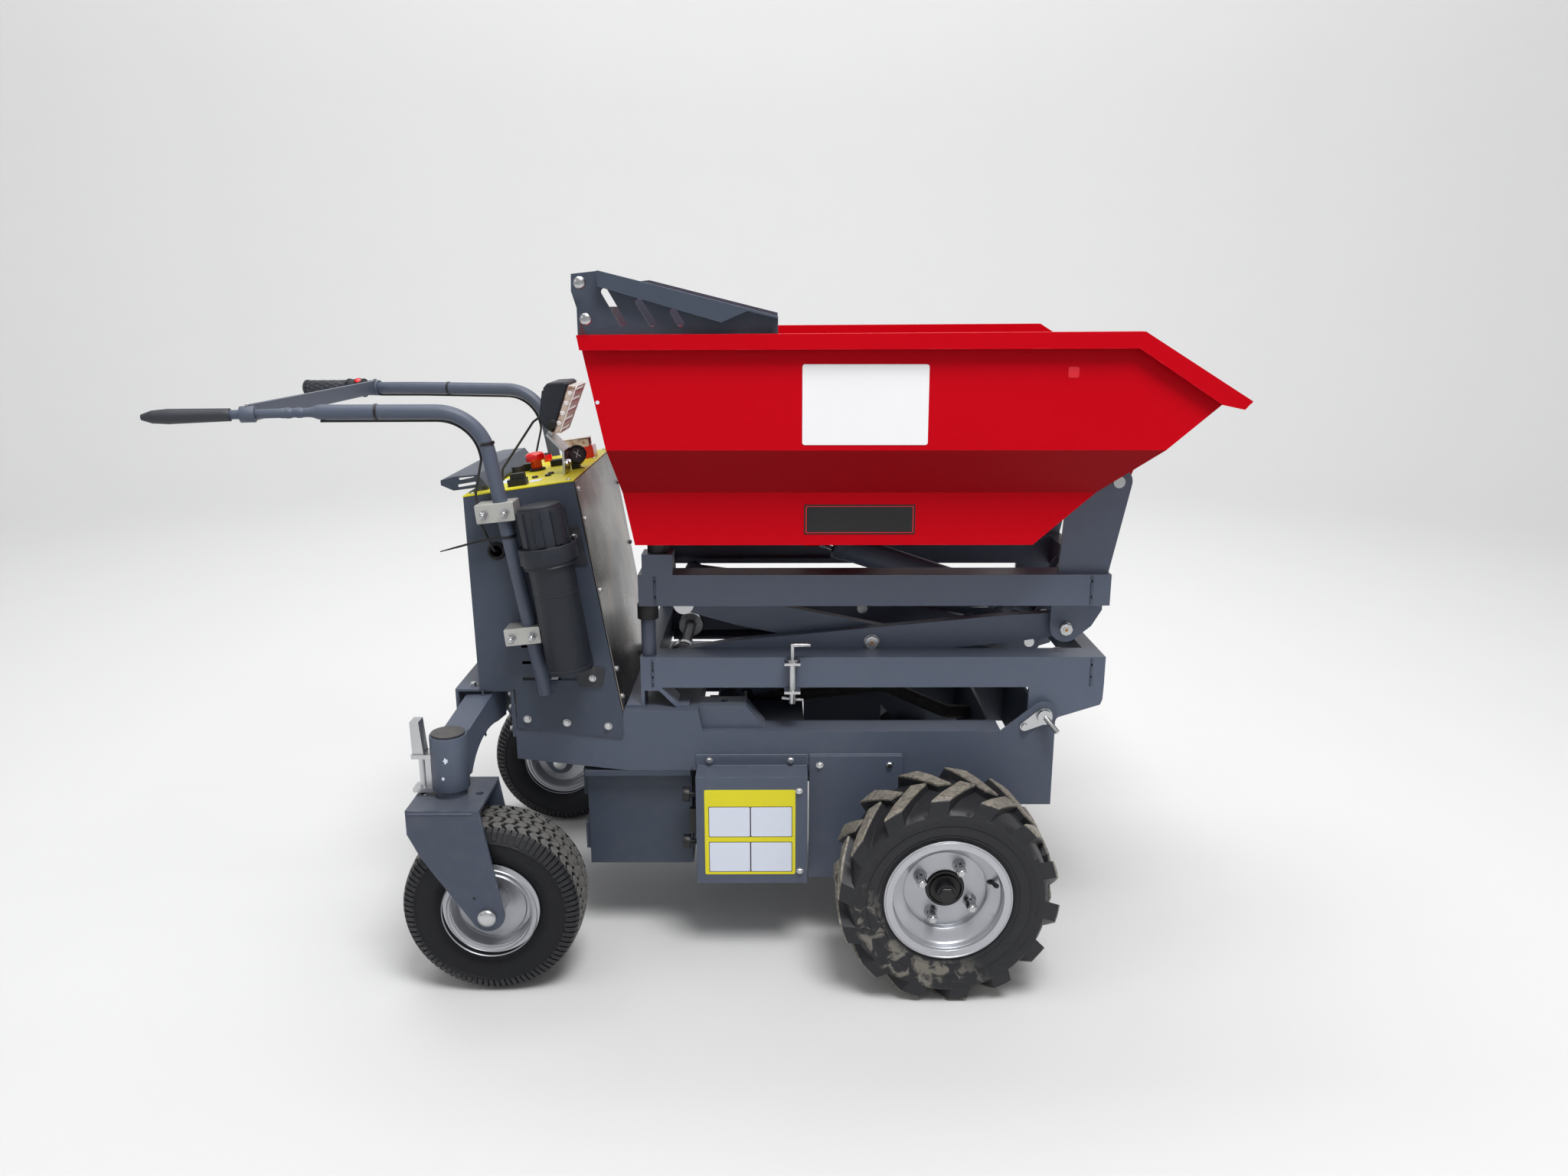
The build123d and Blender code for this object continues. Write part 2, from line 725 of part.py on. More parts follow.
lock_pin_x = centre_x - 155.5
lock_pin_y = -rail_y - 14
with BuildPart() as t_pins:
    # drop-in pin with a cranked handle, in two lugs on the rail and with a cross pin below
    for z in (lower_z - 4, lower_z + rail_h - 8):
        block((lock_pin_x - 15, lock_pin_x + 15), (lock_pin_y - 14, -rail_y - gap), (z, z + 5))
    for r, z0, z1 in (
        (6.5, lower_z - 26, lower_z + rail_h - 3),
        (11, lower_z + rail_h - 3, lower_z + rail_h + 2),
        (4, lower_z + rail_h, lower_z + rail_h + 31),
    ):
        post(lock_pin_x, lock_pin_y, r, z0, z1)
    handle_top = lower_z + rail_h + 29
    tube_between(
        spot(lock_pin_x - 3, lock_pin_y, handle_top), spot(lock_pin_x + 34, lock_pin_y, handle_top), 4
    )
    tube_between(
        spot(lock_pin_x - 20, lock_pin_y, lower_z - 16), spot(lock_pin_x + 21, lock_pin_y, lower_z - 20), 3
    )
    both_sides()
save(t_pins, "lock_pins")

with BuildPart() as lower_pins:
    # pins of the inner arms and of the foot of the lift cylinder
    rod(pivot_in, pivot_in_z, pin_r - fit, -rail_in + gap, -inner_arm_y + arm_t)
    both_sides()
    rod(lift_foot_x, lift_foot_z, pin_r - fit, -cylinder_pin_y - 4, cylinder_pin_y + 4)
save(lower_pins, "lower_pins")


# ---------------------------------------------------------------- scissor arms
def scissor_arm(outer_face, tail, head):
    """Arm with rounded, narrower ends, drilled at both ends and in the middle."""
    length = hypot(head[0] - tail[0], head[1] - tail[1])
    ux, uz = (head[0] - tail[0]) / length, (head[1] - tail[1]) / length
    taper = 110
    body = []
    for along, half in (
        (0, arm_end_r),
        (taper, arm_h / 2),
        (length - taper, arm_h / 2),
        (length, arm_end_r + 3),
        (length, -arm_end_r - 3),
        (length - taper, -arm_h / 2),
        (taper, -arm_h / 2),
        (0, -arm_end_r),
    ):
        body.append((tail[0] + ux * along - uz * half, tail[1] + uz * along + ux * half))
    plane = side(-outer_face + arm_t)
    panel(plane, body, arm_t)
    for place, r in ((tail, arm_end_r), (head, arm_end_r + 3)):
        rod(place[0], place[1], r, -outer_face + arm_t, -outer_face)


tube_reach = 262  # centre pin to the cross tube, along the inner arm
eye_reach = 215  # centre pin to the rod's eye, along the inner arm and above it
eye_rise = 35
lug_face = 16  # inner face of the lugs beside a rod's eye
with BuildPart() as inner_arms:
    tail = (top_roll_x, top_roll_z)
    head = (pivot_in, pivot_in_z)
    scissor_arm(inner_arm_y, tail, head)
    for x, z in (tail, head, (centre_x, centre_z)):
        rod(x, z, pin_r, -inner_arm_y + arm_t, -inner_arm_y, Mode.SUBTRACT)
    # cross tubes: one at the top rollers, one near the front pins for the cylinder
    ux, uz = cos(radians(inner_rest)), -sin(radians(inner_rest))
    tube_x, tube_z = centre_x + tube_reach * ux, centre_z + tube_reach * uz
    rod(tube_x, tube_z, 20, -inner_arm_y + arm_t, 0)
    rod(top_roll_x, top_roll_z, 16, -inner_arm_y + arm_t, 0)
    # lugs that hold the rod's eye of the lift cylinder
    eye_x = centre_x + eye_reach * ux - eye_rise * uz
    eye_z = centre_z + eye_reach * uz + eye_rise * ux
    tapered(side(-lug_face), (tube_x, tube_z), (eye_x, eye_z), 22, 19, lug_t)
    both_sides()
    for y in (-1, 1):
        rod(eye_x, eye_z, 12, y * (lug_face + lug_t + 1), y * lug_face)
save(inner_arms, "inner_arms")

with BuildPart() as outer_arms:
    tail = (low_roll_x, low_roll_z)
    head = (pivot_out, pivot_out_z)
    scissor_arm(outer_arm_y, tail, head)
    for x, z in (tail, head, (centre_x, centre_z)):
        rod(x, z, pin_r, -outer_arm_y + arm_t, -outer_arm_y, Mode.SUBTRACT)
    both_sides()
    # shaft that ties the two arms together behind the rollers
    rod(low_roll_x, low_roll_z, pin_r, -outer_arm_y, outer_arm_y)
save(outer_arms, "outer_arms")

with BuildPart() as centre_pins:
    rod(centre_x, centre_z, pin_r - fit, -outer_arm_y - 3, -inner_arm_y + arm_t)
    rod(centre_x, centre_z, 15, -outer_arm_y - 0.3, -outer_arm_y - 3.5)
    both_sides()
save(centre_pins, "centre_pins")

with BuildPart() as low_rollers:
    roller_y = (-outer_arm_y + arm_t + 0.5, -inner_arm_y + arm_t + 1)
    rod(low_roll_x, low_roll_z, roller_r, *roller_y)
    rod(low_roll_x, low_roll_z, pin_r + fit, *roller_y, Mode.SUBTRACT)
    both_sides()
save(low_rollers, "lower_rollers")

top_roller_r = 20
roller_lift = 4.2  # play above the upper rollers, which rise a little in mid travel
with BuildPart() as top_rollers:
    rod(top_roll_x, top_roll_z, top_roller_r, -outer_arm_y + 1, -inner_arm_y - 0.5)
    rod(top_roll_x, top_roll_z, pin_r - fit, -outer_arm_y + 1, -inner_arm_y + arm_t)
    both_sides()
save(top_rollers, "upper_rollers")

# ---------------------------------------------------------------- upper lift frame
upper_top = upper_z + rail_h
foot_x, foot_z = frame_front - 80, 617  # foot of the tip cylinder
rest_z = 782  # top of the blocks under the skip's rear corners
upright_y = 196
upright_t = 10
with BuildPart() as upper_frame:
    lift_frame(upper_z)
    track_z = top_roll_z + top_roller_r + roller_lift
    block(track_x, (-rail_in, -inner_arm_y - 3), (track_z, track_z + 6))
    # bracket that takes the head of each outer arm
    plate = [
        (pivot_out - 30, upper_z),
        (pivot_out - 30, pivot_out_z),
        (pivot_out + 20, pivot_out_z - 22),
        (pivot_out + 49, pivot_out_z + 2),
        (frame_front - 2, upper_z - 19),
        (frame_front - 2, upper_z),
    ]
    panel(side(-bracket_y + bracket_t), plate, bracket_t)
    rod(pivot_out, pivot_out_z, bracket_r, -bracket_y + bracket_t, -bracket_y)
    rod(pivot_out, pivot_out_z, pin_r, -bracket_y + bracket_t, -bracket_y, Mode.SUBTRACT)
    # upright that carries the skip's hinge
    upright = [
        (hinge_x - 101, upper_top),
        (frame_front - 2, upper_top),
        (hinge_x + 25, hinge_z - 8),
        (hinge_x - 15, hinge_z + 20),
        (hinge_x - 93, hinge_z - 32),
    ]
    panel(side(-upright_y + upright_t), upright, upright_t)
    rod(hinge_x, hinge_z, 26, -upright_y + upright_t, -upright_y)
    rod(hinge_x, hinge_z, pin_r, -upright_y + upright_t, -upright_y, Mode.SUBTRACT)
    # rest block under the skip's rear corner
    block((frame_rear + 8, frame_rear + 65), (-rail_y, -rail_y + 50), (upper_top, rest_z))
    # lugs under the front cross tube for the foot of the tip cylinder
    tapered(side(-lug_face), (foot_x, foot_z), (frame_front - end_w - 4, upper_z + 22), 19, 24, lug_t)
    rod(foot_x, foot_z, pin_r, -lug_face - lug_t, -lug_face, Mode.SUBTRACT)
    both_sides()
save(upper_frame, "upper_frame")

with BuildPart() as upper_pins:
    # pins of the outer arms, the skip's hinge and the foot of the tip cylinder
    rod(pivot_out, pivot_out_z, pin_r - fit, -bracket_y - 6, -outer_arm_y + arm_t)
    rod(hinge_x, hinge_z, pin_r - fit, -upright_y - 6, -upright_y + 32)
    both_sides()
    rod(foot_x, foot_z, pin_r - fit, -cylinder_pin_y - 4, cylinder_pin_y + 4)
save(upper_pins, "upper_pins")

with BuildPart() as buffers:
    post(frame_rear + 37, -rail_y + 25, 20, rest_z + gap, skip_floor_z - gap)
    both_sides()
save(buffers, "skip_buffers")


# ---------------------------------------------------------------- skip
def skip_rear(z):
    return skip_floor_rear - skip_rear_lean * (z - skip_floor_z)


def skip_front(z):
    return skip_floor_front + (z - skip_floor_z) / skip_front_rise


rim_slope = (skip_rim_front_z - skip_lip_z) / (lip_reach - skip_kink_x)
mouth_x = (
    skip_rim_front_z + rim_slope * skip_kink_x - skip_floor_z + skip_front_rise * skip_floor_front
) / (skip_front_rise + rim_slope)
mouth_z = skip_floor_z + skip_front_rise * (mouth_x - skip_floor_front)


def tub_body(inset, mode=Mode.ADD):
    """The skip's body, or its hollow when inset by the wall."""
    rise = inset if mode == Mode.SUBTRACT else 0
    floor = skip_floor_z + inset
    front_in = inset * hypot(1, skip_front_rise) / skip_front_rise
    rear_in = inset * hypot(1, skip_rear_lean)
    profile = [
        (skip_rear(floor) + rear_in, floor),
        (skip_front(floor) - front_in, floor),
        (mouth_x - front_in + 20 * (rise > 0), mouth_z + 20 * skip_front_rise * (rise > 0)),
        (skip_kink_x, skip_rim_front_z + 2 * rise),
        (skip_rear(skip_rim_rear_z) + rear_in, skip_rim_rear_z + 2 * rise),
    ]
    with BuildSketch(side(skip_y + 20)) as long:
        with BuildLine():
            Polyline(*profile, close=True)
        make_face()
    half = [
        (0, floor),
        (skip_floor_y - inset, floor),
        (skip_crease_lo[1] - inset, skip_crease_lo[0] + inset / 2),
        (skip_crease_hi[1] - inset, skip_crease_hi[0] + inset / 2),
        (skip_y - inset, skip_rim_front_z + 2 * rise),
        (0, skip_rim_front_z + 2 * rise),
    ]
    with BuildSketch(across(skip_rear(skip_rim_rear_z) - 60)) as wide:
        with BuildLine():
            Polyline(*half, close=True)
        make_face()
        mirror(about=Plane.YZ)
    with BuildPart(mode=Mode.PRIVATE) as body:
        extrude(long.sketch, amount=2 * skip_y + 40)
        extrude(wide.sketch, amount=lip_reach - skip_rear(skip_rim_rear_z) + 200, mode=Mode.INTERSECT)
    add(body.part, mode=mode)


skip_eye_x, skip_eye_z = centre_x - 114, 775  # rod's eye of the tip cylinder
bearer_x = (-540, 120)
bearer_y = (-140, -100)
with BuildPart() as skip:
    tub_body(0)
    tub_body(skip_wall, Mode.SUBTRACT)
    # rim along the sides: flat on top with a lip folded down outside
    top_line = [
        (skip_rear(skip_rim_rear_z), skip_rim_rear_z),
        (skip_kink_x, skip_rim_front_z),
        (lip_reach, skip_lip_z),
    ]
    flange = top_line + [
        (lip_reach - 2, skip_lip_z - skip_wall),
        (skip_kink_x - 1, skip_rim_front_z - skip_wall),
        (skip_rear(skip_rim_rear_z), skip_rim_rear_z - skip_wall),
    ]
    lip = top_line + [
        (lip_reach - 12, skip_lip_z - 14),
        (lip_reach - 50, skip_lip_z - 6),
        (skip_kink_x - 8, skip_rim_front_z - skip_rim_drop - 3),
        (skip_rear(skip_rim_rear_z) + 4, skip_rim_rear_z - skip_rim_drop),
    ]
    panel(side(-skip_y), flange, skip_rim_w)
    panel(side(-skip_y - skip_rim_w + skip_wall), lip, skip_wall)
    # front flange beyond the mouth
    front_flange = [
        (mouth_x - 2, mouth_z),
        (lip_reach, skip_lip_z),
        (lip_reach - 12, skip_lip_z - 14),
        (lip_reach - 15, skip_lip_z - 11),
        (lip_reach - 5, skip_lip_z - 2),
        (mouth_x - 4, mouth_z - 4),
    ]
    panel(side(0), front_flange, skip_y + 2)
    # bearers under the floor and lugs for the hinge
    block(bearer_x, bearer_y, (skip_floor_z - 28, skip_floor_z + 1))
    lug_in = 168
    lug_plate = [
        (185, 861),
        (hinge_x - 22, hinge_z - 14),
        (hinge_x + 6, hinge_z - 24),
        (hinge_x + 24, hinge_z),
        (390, 1036),
    ]
    panel(side(-lug_in), lug_plate, 12)
    rod(hinge_x, hinge_z, 24, -lug_in, -lug_in - 12)
    rod(hinge_x, hinge_z, pin_r, -lug_in, -lug_in - 12, Mode.SUBTRACT)
    # lugs that hold the rod's eye of the tip cylinder
    eye_plate = [
        (skip_eye_x - 45, skip_floor_z + 1),
        (skip_eye_x - 16, skip_eye_z - 16),
        (skip_eye_x + 16, skip_eye_z - 16),
        (skip_eye_x + 45, skip_floor_z + 1),
    ]
    panel(side(-lug_face - 1), eye_plate, lug_t)
    both_sides()
    for y in (-1, 1):
        rod(skip_eye_x, skip_eye_z, 12, y * (lug_face + lug_t + 1), y * (lug_face + 1))
save(skip, "skip")

guard_y = skip_y
guard_t = 4
guard_x = skip_rear(skip_rim_rear_z)  # the guard stands over the rear corners of the rim
guard_len = 326.5
guard_top = skip_rim_rear_z + 101
guard_flat = 38  # from the rear corner to where the top starts to slope
guard_fall = 71  # drop of the sloping top to its front end
with BuildPart() as guard:
    cheek = [
        (guard_x + 13, skip_rim_rear_z + gap),
        (guard_x - 8, guard_top - 32),
        (guard_x - 7, guard_top - 5),
        (guard_x + guard_flat, guard_top),
        (guard_x + guard_len, guard_top - guard_fall),
        (guard_x + guard_len, skip_rim_rear_z + 2.5),
    ]
    panel(side(-guard_y), cheek, guard_t)
    # slanting slots: top x and z, foot x, counted from the rim's rear corner
    for top_x, top_z, foot_x0 in ((46, 68, 74), (101, 52, 122), (157, 37, 167.5)):
        top = (guard_x + top_x, skip_rim_rear_z + top_z)
        foot = (guard_x + foot_x0, skip_rim_rear_z + 19)
        tapered(side(-guard_y), top, foot, 5.75, 5.75, guard_t, Mode.SUBTRACT)
    # edge folded outward along the slope, then down to a slanting end
    slope = -guard_fall / (guard_len - guard_flat)
    edge = [(guard_x + guard_flat, guard_top), (guard_x + guard_len, guard_top - guard_fall)]
    panel(side(-guard_y - guard_t), edge + [(x, z - guard_t) for x, z in reversed(edge)], 22)
    fold = [
        (guard_x + guard_flat, guard_top),
        (guard_x + guard_flat + 245, guard_top + slope * 245),
        (guard_x + 235, guard_top - 81),
        (guard_x + guard_flat, guard_top - 25),
    ]
    panel(side(-guard_y - guard_t - 18), fold, guard_t)
    both_sides()
    # low panel across the back
    block(
        (guard_x, guard_x + guard_t),
        (-guard_y - guard_t, guard_y + guard_t),
        (skip_rim_rear_z + gap, skip_rim_rear_z + 44),
    )
save(guard, "spill_guard")


# ---------------------------------------------------------------- cylinders
rod_r = 15
foot_w = 30  # width of a barrel's foot between its lugs
eye_w = 24  # width of a rod's eye between its bosses


def cylinder(name, foot, eye, barrel_r, neck, gland):
    """Barrel pinned at its foot and rod with an eye, on the line from foot to eye."""
    start = spot(foot[0], 0, foot[1])
    along = spot(eye[0], 0, eye[1]) - start
    length = along.length
    along = along.normalized()
    with BuildPart() as barrel:
        tube_between(start + along * neck, start + along * gland, barrel_r)
        tube_between(start, start + along * (neck + 1), foot_w / 2)
        rod(foot[0], foot[1], 20, -foot_w / 2, foot_w / 2)
        tube_between(start + along * (neck + 10), start + along * (gland + 1), rod_r + fit, Mode.SUBTRACT)
        rod(foot[0], foot[1], pin_r, -foot_w / 2, foot_w / 2, Mode.SUBTRACT)
    save(barrel, f"{name}_barrel")
    with BuildPart() as piston:
        tube_between(start + along * (neck + 16), start + along * (length - 14), rod_r)
        rod(eye[0], eye[1], 18, -eye_w / 2, eye_w / 2)
    save(piston, f"{name}_rod")


for name, foot, eye, barrel_r, neck, gland in (
    ("lift", (lift_foot_x, lift_foot_z), (eye_x, eye_z), 28, 40, 400),
    ("tip", (foot_x, foot_z), (skip_eye_x, skip_eye_z), 27, 62, 450),
):
    cylinder(name, foot, eye, barrel_r, neck, gland)

# ---------------------------------------------------------------- control box
box_foot = beam_top + gap
box_top = 893  # rear edge of the sloping top
box_top_rise = 29
box_rise_x = box_front - 72  # top edge of the front panel
box_side = [
    (box_rear, box_foot),
    (box_rear - 6, box_top),
    (box_rise_x, box_top + box_top_rise),
    (box_front, rear_deck_z),
    (box_front, 429),
    (beam_front + 5, 450),
    (beam_front + 5, box_foot),
]
box_low = rear_deck_z + 1  # foot of the front strip
cable_hole = (box_front - 218, 794)
with BuildPart() as control_box:
    panel(side(-box_y + box_t), box_side, box_t)
    # cable hole and vents in the near side
    rod(*cable_hole, 12, -box_y + box_t, -box_y, Mode.SUBTRACT)
    for z in (545, 577, 609):
        block((box_front - 184, box_front - 82), (-box_y, -box_y + box_t), (z, z + 6), Mode.SUBTRACT)
    both_sides()
    # back, top, front and floor, each a strip one sheet thick
    top_z = box_top + box_top_rise
    for strip in (
        [(box_rear, box_foot), (box_rear - 6, box_top), (box_rear - 2, box_top), (box_rear + 4, box_foot)],
        [(box_rear - 6, box_top), (box_rise_x, top_z), (box_rise_x, top_z - 4), (box_rear - 6, box_top - 4)],
        [(box_rise_x, top_z), (box_front, box_low), (box_front - 4, box_low), (box_rise_x - 4, top_z)],
        [(box_rear, box_foot), (beam_front + 5, box_foot), (beam_front + 5, box_foot + 4), (box_rear, box_foot + 4)],
    ):
        panel(side(box_y - box_t), strip, 2 * (box_y - box_t))
save(control_box, "control_box")

sheet_t = 2.5
panel_front_z = box_top + box_top_rise + 1
with BuildPart() as front_panel:
    foot_x0 = box_front + 1
    face = [
        (box_rise_x + 1, panel_front_z),
        (foot_x0, rear_deck_z + 2),
        (foot_x0 + sheet_t, rear_deck_z + 2),
        (box_rise_x + 1 + sheet_t, panel_front_z),
    ]
    panel(side(box_y), face, 2 * box_y)
save(front_panel, "front_panel")

with BuildPart() as top_panel:
    face = [
        (box_rear - 7, box_top + 0.5),
        (box_rise_x + 1, panel_front_z - 0.2),
        (box_rise_x + 0.7, panel_front_z - 0.2 + sheet_t),
        (box_rear - 7.3, box_top + 0.5 + sheet_t),
    ]
    panel(side(box_y), face, 2 * box_y)
save(top_panel, "control_panel")

# face of the control panel: local x down its slope from the front edge, local y is -Y
top_run = box_rise_x - box_rear + 8
panel_face = Plane(
    origin=spot(box_rise_x + 0.7, 0, panel_front_z - 0.2 + sheet_t + gap),
    x_dir=(-top_run, 0, -box_top_rise - 0.3),
    z_dir=(-box_top_rise - 0.3, 0, top_run),
)


def stand(along, y, width, depth, height, foot=0):
    """Box on the control panel, or a disc when it has no depth."""
    with BuildSketch(panel_face.offset(foot)) as outline:
        with Locations((along, -y)):
            if depth:
                Rectangle(width, depth)
            else:
                Circle(width)
    extrude(outline.sketch, amount=height)


with BuildPart() as controls:
    # stop button, two small switch caps and the guarded switch's base
    for along, y, width, depth, height, foot in (
        (115, 0, 11, 0, 24, 0),
        (115, 0, 19, 0, 10, 20),
        (122, 148, 9, 0, 14, 0),
        (45, 108, 64, 40, 24, 0),
    ):
        stand(along, y, width, depth, height, foot)
save(controls, "panel_controls")

with BuildPart() as switches:
    # rocker beside the stop button, blocks and the cable gland
    for along, y, width, depth, height in (
        (110, -197, 34, 22, 12),
        (108, -197, 26, 16, 22),
        (140, 27, 24, 30, 14),
        (148, -22, 12, 0, 16),
        (80, 40, 26, 26, 12),
        (40, 175, 20, 30, 18),
        (25, -62, 16, 16, 14),
    ):
        stand(along, y, width, depth, height)
    # round gauge on its foot, facing the driver's side
    looks = Vector(0.25, -0.9, 0.35).normalized()
    with BuildSketch(Plane(origin=spot(box_front - 92, -72, 951), z_dir=looks)) as dial:
        Circle(17)
    extrude(dial.sketch, amount=-24)
save(switches, "panel_switches")

# ---------------------------------------------------------------- work lamp
lamp_y = (-150, -45)
with BuildPart() as lamp:
    body = [
        (box_front - 147, 1020),
        (box_front - 134, 1083),
        (box_front - 130, 1089),
        (box_front - 122, 1092.5),
        (box_front - 101, 1081),
        (box_front - 122, 999.5),
        (box_front - 142, 1013),
    ]
    panel(side(lamp_y[1]), body, lamp_y[1] - lamp_y[0])
save(lamp, "work_lamp")

with BuildPart() as lens:
    face = [
        (box_front - 100.5, 1082),
        (box_front - 93.5, 1079),
        (box_front - 114.5, 996.5),
        (box_front - 121.6, 998.6),
    ]
    panel(side(lamp_y[1]), face, lamp_y[1] - lamp_y[0])
save(lens, "lamp_lens")

with BuildPart() as lamp_bracket:
    # strap from the panel up and back to a clip under the lamp
    strap = [
        (box_front - 108, 920.8),
        (box_front - 104, 921.4),
        (box_front - 104, 966),
        (box_front - 134, 998),
        (box_front - 137.5, 995),
        (box_front - 108, 964),
    ]
    clip = [
        (box_front - 138, 994.5),
        (box_front - 131, 987),
        (box_front - 123.5, 1000.1),
        (box_front - 131.5, 1005.4),
    ]
    panel(side(-82), strap, 60)
    panel(side(-98), clip, 36)
save(lamp_bracket, "lamp_bracket")

with BuildPart() as tray:
    # bent sheet shelf over the rear edge of the panel, its ends folded down and slotted
    tray_y = 200
    rim_line = [
        (box_rear - 55, box_top + 26),
        (box_rear - 32, box_top + 32.5),
        (box_rear + 14, box_top + 37),
        (box_rear + 31, box_top + 15.5),
    ]
    end = rim_line + [(box_rear - 32, box_top + 7), (box_rear - 55, box_top + 17)]
    panel(side(-tray_y + 3), end, 3)
    for rise in (13, 26):
        low = (box_rear - 24 + rise * 0.2, box_top + rise + 3)
        high = (box_rear + 12 - rise * 0.3, box_top + rise + 8)
        tapered(side(-tray_y + 3), low, high, 2.5, 2.5, 3, Mode.SUBTRACT)
    both_sides()
    top_sheet = rim_line + [(x, z - 3) for x, z in reversed(rim_line)]
    panel(side(tray_y), top_sheet, 2 * tray_y)
    # feet on the panel
    for y in (-tray_y + 12, tray_y - 12):
        block((box_rear + 20, box_rear + 29), (y - 9, y + 9), (box_top + 9, box_top + 18))
    with BuildSketch(panel_face) as below:
        Rectangle(3 * top_run, 3 * top_run)
    extrude(below.sketch, amount=-40, mode=Mode.SUBTRACT)
save(tray, "rear_tray")

# ---------------------------------------------------------------- handlebars
handle_foot = (box_front - 136, -handle_y, 529)
lean = tan(radians(9.9))
bend_x = handle_foot[0] - lean * (handle_z - handle_foot[2])
elbow = spot(bend_x - 260, -handle_y - 30, handle_z + 2)
grip_end = spot(-grip_reach, -grip_y, handle_z - 2)
grip_dir = (grip_end - elbow).normalized()
grip_len = 140
near_grip_r = 12
far_grip_r = 16.5
thin_r = 8
thin_len = 145  # thinner bar between the near grip and its joint
bar_start = grip_end - grip_dir * (grip_len + thin_len)


def to_far(place):
    return Vector(place.X, -place.Y, place.Z)


def handle_tube(end):
    """Bent tube from beside the box to its end, on the near side."""
    with BuildLine() as path:
        FilletPolyline(spot(*handle_foot), spot(bend_x, -handle_y, handle_z), elbow, end, radius=88)
    with BuildSketch(Plane(origin=path.line @ 0, z_dir=path.line % 0)) as ring:
        Circle(tube_r)
    sweep(ring.sketch, path=path.line)


with BuildPart() as far_half:
    handle_tube(grip_end - grip_dir * 6)

with BuildPart() as handles:
    handle_tube(bar_start)
    tube_between(bar_start - grip_dir, grip_end - grip_dir * 20, thin_r)
    add(mirror(far_half.part, about=Plane.XZ))
save(handles, "handlebars")

with BuildPart() as grips:
    # smooth near grip with a rounded tip, ribbed far grip with its switch housing
    near_grip = Plane(origin=grip_end, x_dir=grip_dir.cross(Vector(0, 0, 1)), z_dir=grip_dir)
    turned = Plane(origin=grip_end, x_dir=near_grip.x_dir, z_dir=near_grip.y_dir)
    with BuildSketch(turned) as half_grip:
        with BuildLine():
            Polyline(
                (thin_r + fit, grip_len),
                (near_grip_r - 1, grip_len),
                (near_grip_r + 1, grip_len * 0.3),
                (near_grip_r - 1, grip_len * 0.12),
                (5, 0),
                (0, 0),
                (0, 18),
                (thin_r + fit, 18),
                close=True,
            )
        make_face()
    revolve(half_grip.sketch, axis=Axis(grip_end, grip_dir))
    far_end = to_far(grip_end)
    far_dir = to_far(grip_dir)
    tube_between(far_end - far_dir * 104, far_end, far_grip_r)
    tube_between(far_end - far_dir * 144, far_end - far_dir * 105, far_grip_r + 3)
    tube_between(far_end - far_dir * 105.5, far_end - far_dir * 103, tube_r + 3)
    tube_between(far_end - far_dir * 150, far_end - far_dir * 5, tube_r + fit, Mode.SUBTRACT)
save(grips, "grips")

with BuildPart() as crossbar:
    # flat bar between the handles, with a clamp round each
    bar_at = grip_end - grip_dir * 168
    bar_z = bar_at.Z + 2
    bar_x = bar_at.X - axle_x
    block((bar_x - 5, bar_x + 5), (bar_at.Y + 4, 0), (bar_z - 14, bar_z + 14))
    tube_between(bar_at - grip_dir * 12, bar_at + grip_dir * 12, thin_r + 6)
    tube_between(bar_at - grip_dir * 40, bar_at + grip_dir * 40, thin_r + fit, Mode.SUBTRACT)
    both_sides()
    # the far handle is thicker
    far_at = to_far(bar_at)
    tube_between(far_at - far_dir * 12, far_at + far_dir * 12, tube_r + 4)
    tube_between(far_at - far_dir * 40, far_at + far_dir * 40, tube_r + fit, Mode.SUBTRACT)
save(crossbar, "handle_crossbar")

with BuildPart() as clamps:
    for z in (672, 862):
        x = handle_foot[0] - lean * (z - handle_foot[2])
        block((x - 34, x + 20), (-handle_y - 20, -box_y - gap), (z - 12, z + 12))
        low, high = spot(x + lean * 40, -handle_y, z - 40), spot(x - lean * 40, -handle_y, z + 40)
        tube_between(low, high, tube_r + gap, Mode.SUBTRACT)
    both_sides()
save(clamps, "handle_clamps")

# ---------------------------------------------------------------- document tube
tube_low = spot(box_front - 81, -291, 583)
tube_high = spot(box_front - 125, -291, 889)
tube_axis = (tube_high - tube_low).normalized()
with BuildPart() as doc_tube:
    # body, collar and ribbed screw cap: places down from the top, radii
    for start, end, r in ((306, 108, 41), (108, 98, 48), (100, 74, 52), (76, 4, 41), (6, 0, 38)):
        tube_between(tube_high - tube_axis * start, tube_high - tube_axis * end, r)
    with BuildSketch(Plane(origin=tube_high - tube_axis * 70, z_dir=tube_axis)) as ribs:
        with PolarLocations(41, 8):
            Rectangle(5, 14)
    extrude(ribs.sketch, amount=62)
save(doc_tube, "document_tube")

with BuildPart() as tube_brackets:
    # tabs behind the tube, screwed to the side of the box
    upper_tab = [(-84, 770), (-96, 836), (-66, 841), (-53, 770)]
    lower_tab = [(-80, 533), (-84, 575), (-40, 571), (-28, 566), (-36, 533)]
    for tab in (upper_tab, lower_tab):
        panel(side(-box_y - gap), [(box_front + x, z) for x, z in tab], 4)
    for z0, z1 in ((744, 771), (572, 600)):
        mid = box_front - 81 - (z0 - 583) * 0.144
        block((mid - 20, mid + 28), (-box_y - 24, -box_y - gap), (z0, z1))
    tube_between(tube_low - tube_axis * 50, tube_high - tube_axis * 108, 41 + gap, Mode.SUBTRACT)
save(tube_brackets, "tube_brackets")

# ---------------------------------------------------------------- hoses and cables
hose_r = 14
cable_r = 2.2


